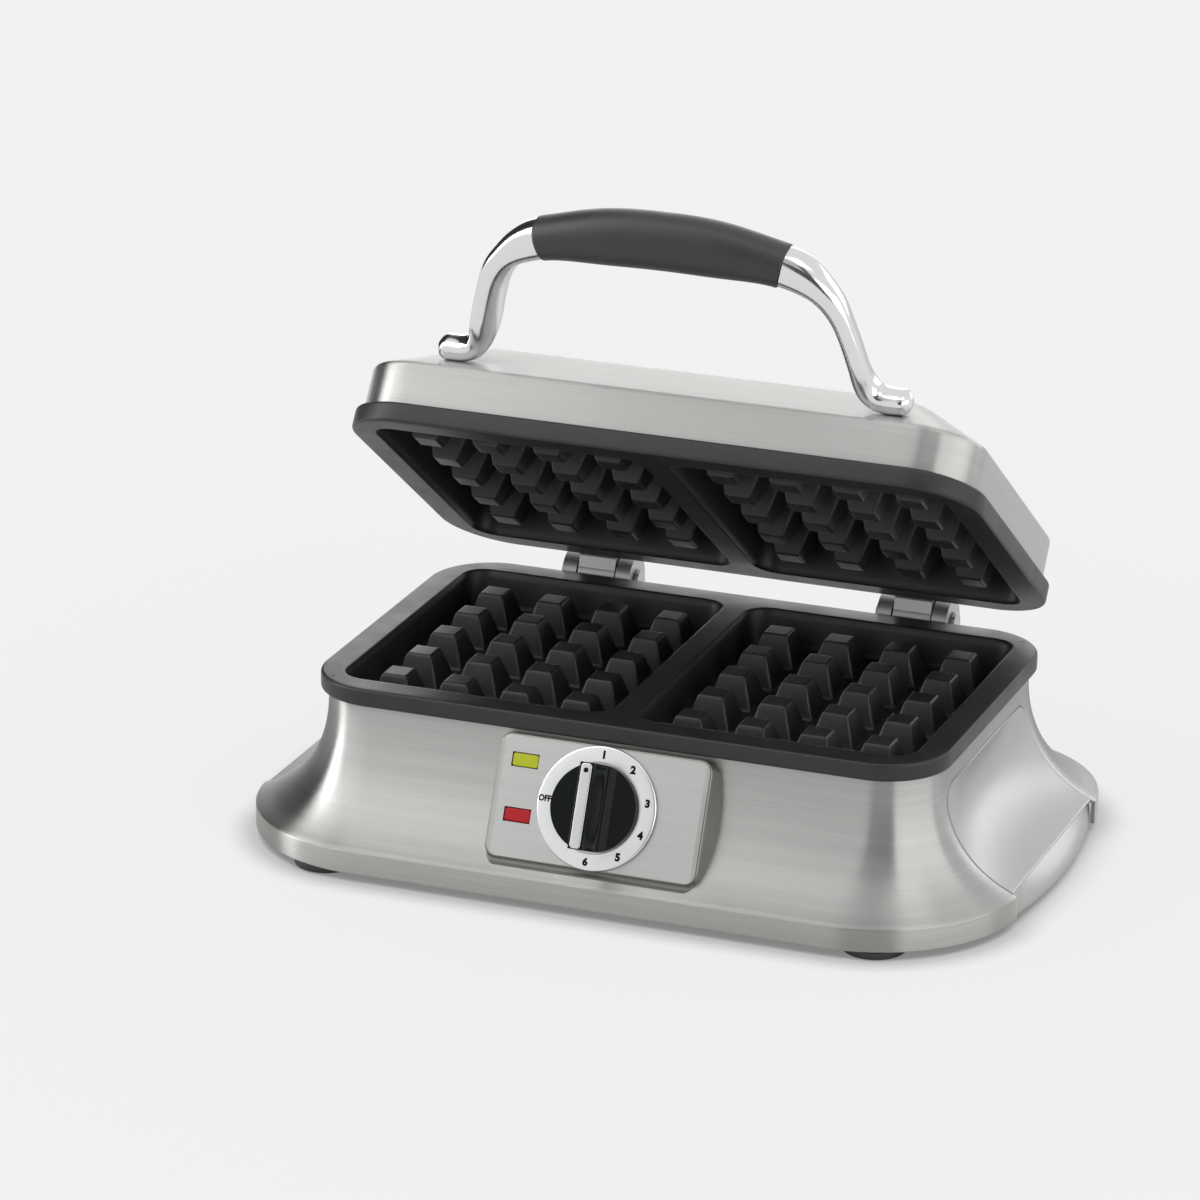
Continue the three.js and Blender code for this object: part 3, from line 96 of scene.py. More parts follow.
MATING_HEIGHT = 67.0  # plane where the two plates meet, above the table
LID_OPEN = radians(35.0)
HINGE_Z = 62.7
HINGE_BEHIND = 11.3  # axis behind the plates' rear edge
FIT_GAP = 0.3
PLATE_X, PLATE_Y = 125.0, 78.5  # half the plates' width and depth
PLATE_CORNER = 26.0
PANEL_HEIGHT = 38.0  # the panel's middle above the table
PANEL_FRONT = 10.9  # and in front of the plates
PANEL_TILT = radians(90 - 23.5)
BASE = Place().moved(0.0, centre_of("lower_grid_plate").y, 0.0)


# Meshes


def blend(low: Array | float, high: Array | float, share: Array) -> Array:
    """Goes from low to high with share, level at both ends: low + (high - low)(3s^2 - 2s^3)."""
    s = np.clip(share, 0.0, 1.0)
    return low + (high - low) * s * s * (3.0 - 2.0 * s)


def curve(a: Array | float, w: Array | float, b: Array | float, t: Array) -> Array:
    """The quadratic curve from a towards w to b: (1-t)^2 a + 2t(1-t) w + t^2 b."""
    return (1 - t) ** 2 * a + 2 * t * (1 - t) * w + t ** 2 * b


def round_off(far: Array) -> Array:
    """Height of a quarter circle: 1 at far 0, and 0 from far 1 on."""
    return np.sqrt(np.clip(1 - far ** 2, 0.0, 1.0))


def along(path: Array) -> Array:
    """Distance travelled to each point of a path of points, starting at 0."""
    steps = np.linalg.norm(np.diff(path, axis=-2), axis=-1)
    return np.concatenate([np.zeros(steps.shape[:-1] + (1,)), np.cumsum(steps, axis=-1)], axis=-1)


def lifted(rings: Array, z: Array | float) -> Array:
    """Points of x and y given their height: one for each ring, or one for a single loop."""
    level = np.reshape(z, (-1,) + (1,) * (rings.ndim - 1))
    return np.concatenate([rings, np.broadcast_to(level, rings.shape[:-1] + (1,))], axis=-1)


def border(grid: Array) -> Array:
    """The points round a grid of rows by columns, ending where they start."""
    return np.concatenate([grid[0], grid[1:, -1], grid[-1, ::-1][1:], grid[::-1, 0][1:]])


def mirrored_quarters(quarter: Array) -> Array:
    """Makes whole outlines out of first quarters that run from the +X axis to the +Y axis."""
    back = quarter[:, ::-1]
    flip = np.array([-1.0, 1.0])
    others = (back * flip, quarter * -1.0, back * -flip)
    return np.concatenate([quarter, *(other[:, 1:] for other in others)], axis=1)


def rounded_outline(half_x: Array, half_y: Array, radius: Array, corner: int, side: int) -> Array:
    """Rounded rectangles, anticlockwise from (half_x, 0), with the first point repeated at the end.

    A quarter is a straight run up to the corner, an arc of 90 degrees about (half_x - radius,
    half_y - radius), and a straight run to (0, half_y). The other quarters mirror it.

    Args:
        half_x, half_y, radius: half width, half depth and corner radius of each outline, arrays or numbers.
        corner, side: steps in each corner and in each straight run.

    Returns:
        Outlines by points by x and y.
    """
    hx, hy, r = (np.atleast_1d(np.asarray(v, float))[:, None]
                 for v in np.broadcast_arrays(half_x, half_y, radius))
    run = np.linspace(0.0, 1.0, side + 1)[None, :]
    turn = np.linspace(0.0, pi / 2, corner + 1)[None, 1:]
    x = np.concatenate([hx + 0 * run, hx - r + r * np.cos(turn), (hx - r) * (1 - run[:, 1:])], axis=1)
    y = np.concatenate([(hy - r) * run, hy - r + r * np.sin(turn), hy + 0 * run[:, 1:]], axis=1)
    return mirrored_quarters(np.stack([x, y], axis=-1))


def pushed_out(loop: Array, core: Array, radius: float, stretch: Array | float = 1.0) -> Array:
    """Pushes a loop out to a rounded rectangle: its sides keep their spacing and its corners fan out.

    Args:
        loop: points inside the rectangle, x and y.
        core: middle of the first quarter's corner.
        radius: corner radius of the rectangle.
        stretch: how much the core grows on the way, by x and y.

    Returns:
        The points on the rectangle.
    """
    reach = np.maximum(np.abs(loop) - core, 0.0)
    length = np.linalg.norm(reach, axis=1, keepdims=True)
    way = np.where(length > 0, reach / np.maximum(length, 1e-9), 0.0)
    return (np.minimum(np.abs(loop), core) * stretch + way * radius) * np.sign(loop)


def rounded_profile(points: list[Pair], sizes: list[float], steps: int = 4) -> Array:
    """A profile whose inner corners are rounded with quadratic curves.

    Args:
        points: the profile with sharp corners.
        sizes: for each inner corner, how far from it the curve starts and ends, or 0 for a sharp one.
        steps: parts of each curve.

    Returns:
        The points of the rounded profile.
    """
    p = [np.array(point, float) for point in points]
    t = np.linspace(0.0, 1.0, steps + 1)[:, None]
    out = p[:1]
    for before, corner, after, size in zip(p, p[1:], p[2:], sizes):
        if size:
            start, end = (corner + (q - corner) * size / np.linalg.norm(q - corner) for q in (before, after))
            out += list(curve(start, corner, end, t))
        else:
            out.append(corner)
    return np.array(out + p[-1:])


def swept(line: Array, half_in: Array, half_out: Array, sides: int, power: float = 2.0) -> Array:
    """A tube along a line in x and z whose section is a rounded shape of changing size.

    The section at each point is a superellipse |p/a|^n + |q/b|^n = 1, where p runs in the plane of the line,
    square to it, and q runs along y.

    Args:
        line: points of the line, x and z.
        half_in, half_out: half size in the plane of the line and along y at each point.
        sides: points round the section.
        power: n, 2 for an ellipse and more for a squarer section.

    Returns:
        Points by sides + 1 by x, y and z.
    """
    tangent = np.gradient(line, axis=0)
    tangent /= np.linalg.norm(tangent, axis=1, keepdims=True)
    normal = np.stack([-tangent[:, 1], tangent[:, 0]], axis=1)
    angle = np.linspace(0.0, 2 * pi, sides + 1)[None, :]
    p, q = (np.sign(way) * np.abs(way) ** (2 / power) * half[:, None]
            for way, half in ((np.cos(angle), half_in), (np.sin(angle), half_out)))
    return np.stack([line[:, :1] + normal[:, :1] * p, q, line[:, 1:] + normal[:, 1:] * p], axis=-1)


def lathe(profile: Array, steps: int) -> Array:
    """Turns a profile of radius and height about z: (r cos a, r sin a, h) for a from 0 to a full turn."""
    angle = np.linspace(0.0, 2 * pi, steps + 1)[None, :]
    r, h = profile[:, :1], profile[:, 1:]
    return np.stack([r * np.cos(angle), r * np.sin(angle), h + 0 * angle], axis=-1)


class Shell:
    """Points, faces and pattern coordinates of one piece, gathered from several surfaces."""

    WELD = 2e-6

    def __init__(self) -> None:
        """Starts with nothing in it."""
        self.points: list[Array] = []
        self.uvs: list[Array] = []
        self.faces: list[list[int]] = []
        self.count = 0

    def _take(self, points: Array, uv: Array) -> int:
        """Adds loose points with their pattern coordinates and tells where they start."""
        start = self.count
        self.points.append(points.reshape(-1, 3))
        self.uvs.append(uv.reshape(-1, 2))
        self.count += points.size // 3
        return start

    def grid(self, points: Array, keep: Array | None = None) -> "Shell":
        """Adds a surface. Its pattern coordinates are the mean distance along its columns and its rows.

        Args:
            points: rows by columns by x, y and z.
            keep: true for each quad, rows - 1 by columns - 1, that is part of the surface.

        Returns:
            This shell.
        """
        rows, columns = points.shape[:2]
        u = np.broadcast_to(along(points).mean(axis=0)[None, :], (rows, columns))
        v = np.broadcast_to(along(points.transpose(1, 0, 2)).mean(axis=0)[:, None], (rows, columns))
        start = self._take(points, np.stack([u, v], axis=-1))
        index = start + np.arange(rows * columns).reshape(rows, columns)
        quads = np.stack([index[:-1, :-1], index[:-1, 1:], index[1:, 1:], index[1:, :-1]], axis=-1)
        self.faces += (quads.reshape(-1, 4) if keep is None else quads[keep]).tolist()
        return self

    def cap(self, loop: Array) -> "Shell":
        """Closes a flat loop of points with one face. The pattern coordinates are x and y."""
        loop = loop[:-1] if np.allclose(loop[0], loop[-1]) else loop
        start = self._take(loop, loop[:, :2])
        self.faces.append(list(range(start, start + len(loop))))
        return self

    def piece(self, name: str, place: Place, finish: "Finish", body: str, *replaced: str) -> bpy.types.Object:
        """Makes the object, joins its seams, turns its faces out and sets it on its body.

        Args:
            name, finish, body: the piece's name, what it is made of and the body that it rides on.
            place: the frame that the points are drawn in.
            replaced: the solids that it stands for.

        Returns:
            The finished object.
        """
        mesh = bpy.data.meshes.new(name)
        mesh.from_pydata(place.metres(np.concatenate(self.points)), [], self.faces)
        corners = np.empty(len(mesh.loops), dtype=np.int64)
        mesh.loops.foreach_get("vertex_index", corners)
        layer = mesh.uv_layers.new(name="grain")
        layer.data.foreach_set("uv", np.concatenate(self.uvs)[corners].astype(np.float32).ravel())
        work = bmesh.new()
        work.from_mesh(mesh)
        bmesh.ops.remove_doubles(work, verts=work.verts, dist=self.WELD)
        bmesh.ops.recalc_face_normals(work, faces=work.faces)
        for face in work.faces:
            face.smooth = True
        work.to_mesh(mesh)
        work.free()
        return settle(linked(name, mesh), finish, body, *replaced)


def linked(name: str, data: bpy.types.ID) -> bpy.types.Object:
    """A new object with its data, put into the scene."""
    made = bpy.data.objects.new(name, data)
    bpy.context.scene.collection.objects.link(made)
    return made


def dress(thing: bpy.types.Object, finish: "Finish") -> None:
    """Makes a finish the only one of an object."""
    thing.data.materials.clear()
    thing.data.materials.append(finish.material())


def settle(piece: bpy.types.Object, finish: "Finish", body: str, *replaced: str) -> bpy.types.Object:
    """Gives a piece its finish and body, hides the solids it stands for, and reports it."""
    dress(piece, finish)
    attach(piece, body)
    if replaced:
        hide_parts(*replaced)
    log.info("%s: %d faces on %s", piece.name, len(piece.data.polygons), body)
    return piece


def block(ring: Array, profile: Array) -> Shell:
    """A small solid of rings stacked to the profile's heights and closed at both ends."""
    surface = lifted(ring, profile[:, 1])
    return Shell().grid(surface).cap(surface[0]).cap(surface[-1])


def thicken(piece: bpy.types.Object, thickness: float, edge: float) -> None:
    """Gives an open shell a wall inside its surface, and rounds its sharp edges.

    Args:
        piece: the shell.
        thickness: wall in millimetres.
        edge: width of the rounding in millimetres.
    """
    wall = piece.modifiers.new("wall", "SOLIDIFY")
    wall.thickness = thickness * MM
    wall.offset = -1.0
    bevel = piece.modifiers.new("soft_edges", "BEVEL")
    bevel.width = edge * MM
    bevel.segments = 2
    bevel.limit_method = "ANGLE"
    bevel.angle_limit = radians(40.0)
    bevel.harden_normals = False


# Shader groups and finishes


NOISE_ENDS = (0.3, 0.7)  # where nearly all of a noise's values lie
BUMP_DEPTH = 0.00012
COAT_ROUGHNESS = 0.08
RIM_SHADE_WIDTH = 0.4


class Bench:
    """A node tree being wired, with short calls for its nodes and links."""

    def __init__(self, tree: bpy.types.NodeTree) -> None:
        """Works on a node tree."""
        self.tree = tree

    @classmethod
    def on(cls, owner: bpy.types.ID) -> "Bench":
        """A bench on the emptied nodes of a material or a world."""
        owner.use_nodes = True
        owner.node_tree.nodes.clear()
        return cls(owner.node_tree)

    def add(self, kind: str, inputs: dict | None = None, **settings: object) -> bpy.types.Node:
        """Adds a node.

        Args:
            kind: Blender's name of the node type.
            inputs: socket name or number to a value, or to an output socket that is linked to it.
            settings: the node's own properties.

        Returns:
            The node.
        """
        node = self.tree.nodes.new(kind)
        for key, value in settings.items():
            setattr(node, key, value)
        for key, value in (inputs or {}).items():
            if isinstance(value, Socket):
                self.tree.links.new(value, node.inputs[key])
            else:
                node.inputs[key].default_value = value
        return node

    def math(self, operation: str, *values: object) -> Socket:
        """A Math node's result."""
        return self.add("ShaderNodeMath", dict(enumerate(values)), operation=operation).outputs[0]

    def mixed(self, one: Socket, share: float, other: Socket, rest: float) -> Socket:
        """The sum of two values, each times its share."""
        return self.math("ADD", self.math("MULTIPLY", one, share), self.math("MULTIPLY", other, rest))

    def stretched(self, vector: Socket, by: Triple) -> Socket:
        """A vector times three numbers."""
        return self.add("ShaderNodeVectorMath", {0: vector, 1: by}, operation="MULTIPLY").outputs[0]

    def noise(self, vector: Socket, scale: object, detail: float, roughness: float = 0.5) -> Socket:
        """A Noise Texture's value."""
        inputs = {"Vector": vector, "Scale": scale, "Detail": detail, "Roughness": roughness}
        return self.add("ShaderNodeTexNoise", inputs).outputs["Fac"]

    def ranged(self, value: Socket, ends: Pair, results: Pair, **settings: object) -> Socket:
        """A Map Range's value: the two ends become the two results."""
        inputs = {"Value": value, 1: ends[0], 2: ends[1], 3: results[0], 4: results[1]}
        return self.add("ShaderNodeMapRange", inputs, **settings).outputs[0]

    def about(self, noise: Socket, middle: float, spread: float) -> Socket:
        """A number that a noise moves by a spread either way."""
        return self.ranged(noise, NOISE_ENDS, (middle - spread, middle + spread))

    def shaded(self, colour: object, factor: Socket) -> Socket:
        """A colour times a value."""
        inputs = {0: 1.0, 6: colour, 7: factor}
        return self.add("ShaderNodeMix", inputs, data_type="RGBA", blend_type="MULTIPLY").outputs[2]

    def seen(self) -> Socket:
        """1 on rays from the camera, off metal and through glass, and 0 on all others."""
        path = self.add("ShaderNodeLightPath").outputs
        seen = self.math("MAXIMUM", path["Is Camera Ray"], path["Is Glossy Ray"])
        return self.math("MAXIMUM", seen, path["Is Transmission Ray"])


def brushing(b: Bench, vector: Socket) -> dict[str, Socket]:
    """Fine parallel strokes: noise drawn out along the first coordinate, in three widths."""
    fine, middle, broad = (
        b.noise(b.stretched(vector, (*stretch, 1.0)), 1.0, detail, roughness)
        for stretch, detail, roughness in (
            ((0.045, 3.6), 2.0, 0.6), ((0.022, 1.3), 3.0, 0.6), ((0.006, 0.22), 2.0, 0.5)))
    return {"Height": b.mixed(fine, 0.6, middle, 0.4), "Mask": b.mixed(fine, 0.5, middle, 0.5),
            "Shade": b.mixed(middle, 0.6, broad, 0.4)}


def speckle(b: Bench, vector: Socket, scale: Socket) -> dict[str, Socket]:
    """Even grain in all directions: a fine noise for the surface and a broad one for slow changes."""
    fine = b.noise(vector, scale, 2.0)
    broad = b.noise(vector, b.math("MULTIPLY", scale, 0.04), 3.0)
    return {"Height": fine, "Mask": b.mixed(fine, 0.4, broad, 0.6), "Shade": broad}


def group_of(wiring: Callable[..., dict[str, Socket]], *sockets: str) -> bpy.types.NodeTree:
    """A shader group of values, made the first time it is asked for.

    Args:
        wiring: makes the outputs Height, Mask and Shade from the group's bench and inputs.
        sockets: names of the inputs, the first a vector and the others numbers.

    Returns:
        The group's tree.
    """
    known = bpy.data.node_groups.get(wiring.__name__)
    if known:
        return known
    tree = bpy.data.node_groups.new(wiring.__name__, "ShaderNodeTree")
    for key in sockets:
        kind = "NodeSocketVector" if key == sockets[0] else "NodeSocketFloat"
        tree.interface.new_socket(name=key, in_out="INPUT", socket_type=kind)
    for key in ("Height", "Mask", "Shade"):
        tree.interface.new_socket(name=key, in_out="OUTPUT", socket_type="NodeSocketFloat")
    b = Bench(tree)
    start = b.add("NodeGroupInput")
    b.add("NodeGroupOutput", wiring(b, *(start.outputs[key] for key in sockets)))
    return tree


@dataclass(frozen=True)
class Finish:
    """What a piece is made of. Colour is linear, each spread is how far the pattern moves a value, and
    rim is how much the colour darkens, as painted shade, where the surface turns away from the viewer."""

    name: str
    slot: str
    colour: Triple
    roughness: float = 0.5
    metallic: float = 0.0
    roughness_spread: float = 0.1
    shade_spread: float = 0.08
    bump: float = 0.1
    grain_scale: float = 1200.0
    coat: float = 0.0
    specular: float = 0.5
    sheen: float = 0.0
    anisotropy: float = 0.0
    glow: float = 0.0
    rim: float = 0.0
    rim_from: float = 0.62

    def pattern(self, b: Bench) -> bpy.types.Node:
        """The speckle group, read at object coordinates."""
        inputs = {"Vector": b.add("ShaderNodeTexCoord").outputs["Object"], "Scale": self.grain_scale}
        return b.add("ShaderNodeGroup", inputs, node_tree=group_of(speckle, "Vector", "Scale"))

    def material(self) -> bpy.types.Material:
        """The finish's material, made the first time it is asked for."""
        known = bpy.data.materials.get(f"{self.name}_finish")
        if known:
            return known
        material = bpy.data.materials.new(f"{self.name}_finish")
        b = Bench.on(material)
        pattern = self.pattern(b).outputs
        shade = b.about(pattern["Shade"], 1.0, self.shade_spread)
        colour = b.shaded((*self.colour, 1.0), shade)
        # Painted shade: the colour darkens on edges that turn away from the viewer.
        if self.rim:
            facing = b.add("ShaderNodeLayerWeight", {"Blend": 0.5}).outputs["Facing"]
            ends = (self.rim_from, self.rim_from + RIM_SHADE_WIDTH)
            colour = b.shaded(colour, b.ranged(facing, ends, (1.0, 1.0 - self.rim)))
        depth = {"Strength": self.bump, "Distance": BUMP_DEPTH, "Height": pattern["Height"]}
        shader = b.add("ShaderNodeBsdfPrincipled", {
            "Base Color": colour, "Roughness": b.about(pattern["Mask"], self.roughness, self.roughness_spread),
            "Normal": b.add("ShaderNodeBump", depth).outputs[0], "Metallic": self.metallic,
            "Coat Weight": self.coat, "Coat Roughness": COAT_ROUGHNESS, "Specular IOR Level": self.specular,
            "Sheen Weight": self.sheen, "Anisotropic": self.anisotropy, **self.extras(b)})
        if self.glow:
            b.tree.links.new(colour, shader.inputs["Emission Color"])
            shader.inputs["Emission Strength"].default_value = self.glow
        b.add("ShaderNodeOutputMaterial", {"Surface": shader.outputs[0]})
        return material

    def extras(self, b: Bench) -> dict[str, object]:
        """Inputs of the shader that only some finishes set."""
        return {}


@dataclass(frozen=True)
class BrushedMetal(Finish):
    """Metal brushed along the first pattern coordinate, so that its highlights spread across the strokes."""

    def pattern(self, b: Bench) -> bpy.types.Node:
        """The brushing group, read at the piece's own grain map."""
        vector = b.add("ShaderNodeUVMap", uv_map="grain").outputs[0]
        return b.add("ShaderNodeGroup", {"Vector": vector}, node_tree=group_of(brushing, "Vector"))

    def extras(self, b: Bench) -> dict[str, object]:
        """Spreads the highlights across the grain."""
        tangent = b.add("ShaderNodeTangent", direction_type="UV_MAP", uv_map="grain").outputs[0]
        return {"Anisotropic Rotation": 0.25, "Tangent": tangent}


STEEL = BrushedMetal("brushed_steel", "brushed_steel", (0.475, 0.475, 0.463), 0.35, 1.0, 0.05, 0.10, 0.26,
                     anisotropy=1.0)
# The skirt, like the chrome below, carries painted shade on its turned-away edges through rim.
SKIRT = replace(STEEL, name="brushed_skirt", rim=0.78, rim_from=0.5)
BAND_STEEL = replace(STEEL, name="brushed_band", colour=(0.42, 0.425, 0.40))
FACE_STEEL = BrushedMetal("brushed_face", "satin_metal", (0.51, 0.51, 0.50), 0.36, 1.0, 0.05, 0.06, 0.20,
                          anisotropy=0.7)
SATIN = Finish("satin_silver", "satin_metal", (0.45, 0.455, 0.45), 0.42, 1.0, 0.04, 0.02, 0.03, 2500.0)
BEZEL = Finish("satin_bezel", "satin_metal", (0.255, 0.255, 0.235), 0.42, 1.0, 0.04, 0.03, 0.03, 2500.0)
# A darker copy of the bezel colour: painted shade on the chin under the panel.
SHADED_CHIN_BEZEL = replace(BEZEL, name="shaded_bezel", colour=(0.15, 0.15, 0.135))
RING = Finish("bright_ring", "satin_metal", (0.78, 0.79, 0.80), 0.30, 1.0, 0.02, 0.01, 0.008, 2500.0)
NONSTICK = Finish("nonstick_coat", "nonstick", (0.021, 0.021, 0.020), 0.42, 0.0, 0.07, 0.10, 0.16, 1800.0,
                  specular=0.42)
CHROME = Finish("polished_chrome", "chrome", (0.75, 0.76, 0.77), 0.15, 1.0, 0.02, 0.02, 0.01, 300.0,
                rim=0.8, rim_from=0.6)
INLAY = Finish("inlay_metal", "chrome", (0.66, 0.67, 0.675), 0.25, 1.0, 0.04, 0.03, 0.02, 2500.0)
RUBBER = Finish("grip_rubber", "rubber", (0.019, 0.019, 0.020), 0.46, 0.0, 0.05, 0.12, 0.16, 2600.0,
                specular=0.6, sheen=0.05)
KNOB = Finish("knob_gloss", "black_plastic", (0.004, 0.006, 0.007), 0.12, 0.0, 0.03, 0.10, 0.02, 900.0,
              specular=0.13)
GREEN = Finish("green_lens", "green_lens", (0.46, 0.50, 0.012), 0.25, 0.0, 0.04, 0.05, 0.05, 900.0,
               coat=0.2, specular=0.3, glow=0.05)
RED = Finish("red_lens", "red_lens", (0.47, 0.008, 0.015), 0.25, 0.0, 0.04, 0.05, 0.05, 900.0,
             coat=0.15, specular=0.25, glow=0.04)
INK = Finish("black_ink", "black_plastic", (0.004, 0.004, 0.004), 0.6, 0.0, 0.05, 0.05, 0.02, 900.0,
             specular=0.10)
DARK = Finish("moulded_plastic", "dark_plastic", (0.022, 0.022, 0.024), 0.55, 0.0, 0.08, 0.12, 0.15, 1500.0)
ZINC = Finish("zinc_plate", "zinc_steel", (0.45, 0.46, 0.47), 0.36, 1.0, 0.08, 0.08, 0.05, 1400.0)
SHEATH = Finish("element_sheath", "element_sheath", (0.10, 0.09, 0.08), 0.5, 0.9, 0.1, 0.2, 0.08, 800.0)
SHEET = Finish("bright_sheet", "sheet_aluminium", (0.72, 0.73, 0.74), 0.28, 1.0, 0.06, 0.05, 0.05, 1000.0)
CERAMIC = Finish("ceramic", "ceramic", (0.75, 0.72, 0.62), 0.6, 0.0, 0.1, 0.06, 0.1, 1200.0)
COPPER = Finish("copper", "copper", (0.62, 0.28, 0.16), 0.35, 1.0, 0.08, 0.1, 0.03, 900.0)
SLEEVE = Finish("lead_sleeve", "lead_sleeve", (0.66, 0.62, 0.52), 0.8, 0.0, 0.08, 0.15, 0.3, 2500.0)
LAMP = Finish("lamp_glass", "lamp_glass", (0.8, 0.72, 0.62), 0.1, 0.0, 0.03, 0.03, 0.02, 900.0, coat=0.5)


# Sub-assemblies


@dataclass
class Skirt:
    """The brushed skirt: a rounded rectangle that flares out to a low upright band."""

    top_inset: float = 3.0
    top: float = 59.7
    waist: Pair = (-4.1, 24.2)
    flare: float = 26.8
    band_top: float = 12.3
    bottom: float = 3.3
    extra_radius: float = 5.3
    cut_half: float = 51.3
    cut_top: float = 50.3
    cut_radius: float = 10.3
    wall: float = 1.5
    inside: int = 14  # steps from the side's middle to the edge of its opening
    outside: int = 84  # and from there to the middle of the front or back

    def offset(self, z: Array) -> Array:
        """How far the skirt stands past the plate's rim at a height.

        The flare is a quadratic curve from the rim towards the waist to the band, solved for the height.
        """
        z0, z1, z2 = self.top, self.waist[1], self.band_top
        a, b = z0 - 2 * z1 + z2, 2 * (z1 - z0)
        t = (-b - np.sqrt(np.maximum(b * b - 4 * a * (z0 - z), 0.0))) / (2 * a)
        return curve(-self.top_inset, self.waist[0], self.flare, np.clip(t, 0.0, 1.0))

    def quarter(self, offset: Array, cut: Array) -> Array:
        """First quarters of the outline with a column of points on the edge of the side opening.

        A point at distance s from the +X axis lies on the straight side, then on the arc, then on the front
        or back side. The corner radius is the plate's, grown by the offset and a little more lower down.

        Args:
            offset: each row's offset past the rim.
            cut: each row's half width of the opening.

        Returns:
            Rows by points by x and y.
        """
        radius = PLATE_CORNER + offset + self.extra_radius * np.maximum(offset, 0.0) / self.flare
        hx, hy, r, cut = (v[:, None] for v in (PLATE_X + offset, PLATE_Y + offset, radius, cut))
        edge = np.where(cut <= hy - r, cut, hy - r + r * np.arcsin(np.clip((cut - (hy - r)) / r, 0.0, 1.0)))
        total = hy - r + r * pi / 2 + hx - r
        s = np.concatenate([
            edge * np.linspace(0.0, 1.0, self.inside + 1)[None, :],
            edge + (total - edge) * np.linspace(0.0, 1.0, self.outside + 1)[None, 1:]], axis=1)
        turn = np.clip((s - (hy - r)) / r, 0.0, pi / 2)
        x = hx - r + r * np.cos(turn) - np.maximum(s - (hy - r) - r * pi / 2, 0.0)
        return np.stack([x, np.minimum(s, hy - r) + r * np.sin(turn)], axis=-1)

    def sheet(self, name: str, finish: Finish, rows: tuple[Array, ...], edge: float, *node: str) -> None:
        """Rows round the skirt, without the quads that lie in the side openings.

        Args:
            name, finish: the piece's name and what it is made of.
            rows: each row's offset, height and half width of the opening.
            edge: rounding of the wall's edges.
            node: the solid that it stands for, if any.
        """
        offset, z, cut = rows
        surface = lifted(mirrored_quarters(self.quarter(offset, cut)), z)
        half = 2 * (self.inside + self.outside)
        place = np.arange(surface.shape[1] - 1) % half
        in_cut = (place < self.inside) | (place >= half - self.inside)
        shell = Shell().grid(surface, ~((z[:-1, None] <= self.cut_top + SAME) & in_cut[None, :]))
        thicken(shell.piece(name, BASE, finish, "base", *node), self.wall, edge)

    def build(self) -> None:
        """The flare, with a row on each edge of the opening, and the band."""
        spring = self.cut_top - self.cut_radius
        arc = self.cut_top - self.cut_radius * (1 - np.cos(np.linspace(0.0, pi / 2, 9)))
        z = np.concatenate([
            np.linspace(self.top, self.cut_top, 7)[:-1], arc[:-1], np.linspace(spring, self.band_top, 30)])
        rise = np.clip(z - spring, 0.0, self.cut_radius)
        cut = self.cut_half - self.cut_radius + np.sqrt(self.cut_radius ** 2 - rise ** 2)
        self.sheet("skirt", SKIRT, (self.offset(z), z, cut), 0.3, "base_housing")
        offset, z = rounded_profile([
            (self.flare - 0.5, self.band_top + 0.22), (self.flare, self.band_top), (self.flare, self.bottom),
            (self.flare - self.wall, self.bottom)], [0.4, 0.6]).T
        self.sheet("skirt_band", BAND_STEEL, (offset, z, np.full(z.shape, self.cut_half)), 0.2)


@dataclass
class SideGrip:
    """The satin inlay on each side: a dished face, a straight lip and a lower wall that bows out."""

    skirt: Skirt
    dish: float = 6.0
    lip_height: float = 12.9
    lip_set: float = 1.2
    lip_drop: float = 0.9
    bulge: float = 5.2
    foot_inset: float = 2.0
    wall: float = 2.0
    edge: float = 0.6

    def surface(self, side: int) -> Array:
        """The face from the top edge over the lip to the table.

        Across y the top edge follows a rounded corner, and the dish is deepest in the middle of both ways:
        depth = dish (1 - (y/half)^2) 4 s (1 - s), with s the share of the way down.

        Args:
            side: -1 for left and 1 for right.

        Returns:
            Rows down the face by columns along y by x, y and z.
        """
        s, lip = self.skirt, self.lip_height
        half, radius = s.cut_half - FIT_GAP, s.cut_radius - FIT_GAP
        y = -half * np.cos(np.linspace(0.0, pi, 73))
        past = np.maximum(np.abs(y) - (half - radius), 0.0)
        top = s.cut_top - FIT_GAP - radius + np.sqrt(np.maximum(radius ** 2 - past ** 2, 0.0))
        middle = 1 - (y / half) ** 2
        share = np.concatenate([np.linspace(0.0, 0.96, 44), [0.975, 0.988]])[:, None]
        z = top[None, :] + (lip - top[None, :]) * share
        x = PLATE_X + s.offset(z) - self.dish * middle * 4 * share * (1 - share)
        nose = np.full_like(y, PLATE_X + float(s.offset(np.array([lip]))[0]))
        under = nose - self.lip_set
        foot = PLATE_X + s.flare - self.foot_inset + self.bulge * middle
        turn = np.linspace(0.0, 1.0, 6)[1:, None]
        down = np.concatenate([[0.03], np.linspace(0.08, 1.0, 13)])[:, None]
        low_z = (lip - self.lip_drop) + (s.bottom - lip + self.lip_drop) * down
        low_x = under + (foot - under) * np.sin(down * pi / 2)
        x = np.concatenate([x, curve(x[-1], nose, under, turn), low_x])
        z = np.concatenate([z, curve(z[-1], lip, lip - self.lip_drop, turn), low_z + 0 * y[None, :]])
        return np.stack([side * x, np.broadcast_to(y[None, :], x.shape), z], axis=-1)

    def build(self) -> None:
        """Both inlays."""
        for word, side in (("left", -1), ("right", 1)):
            shell = Shell().grid(self.surface(side))
            piece = shell.piece(f"side_inlay_{word}", BASE, SATIN, "base", f"side_grip_{word}")
            thicken(piece, self.wall, self.edge)


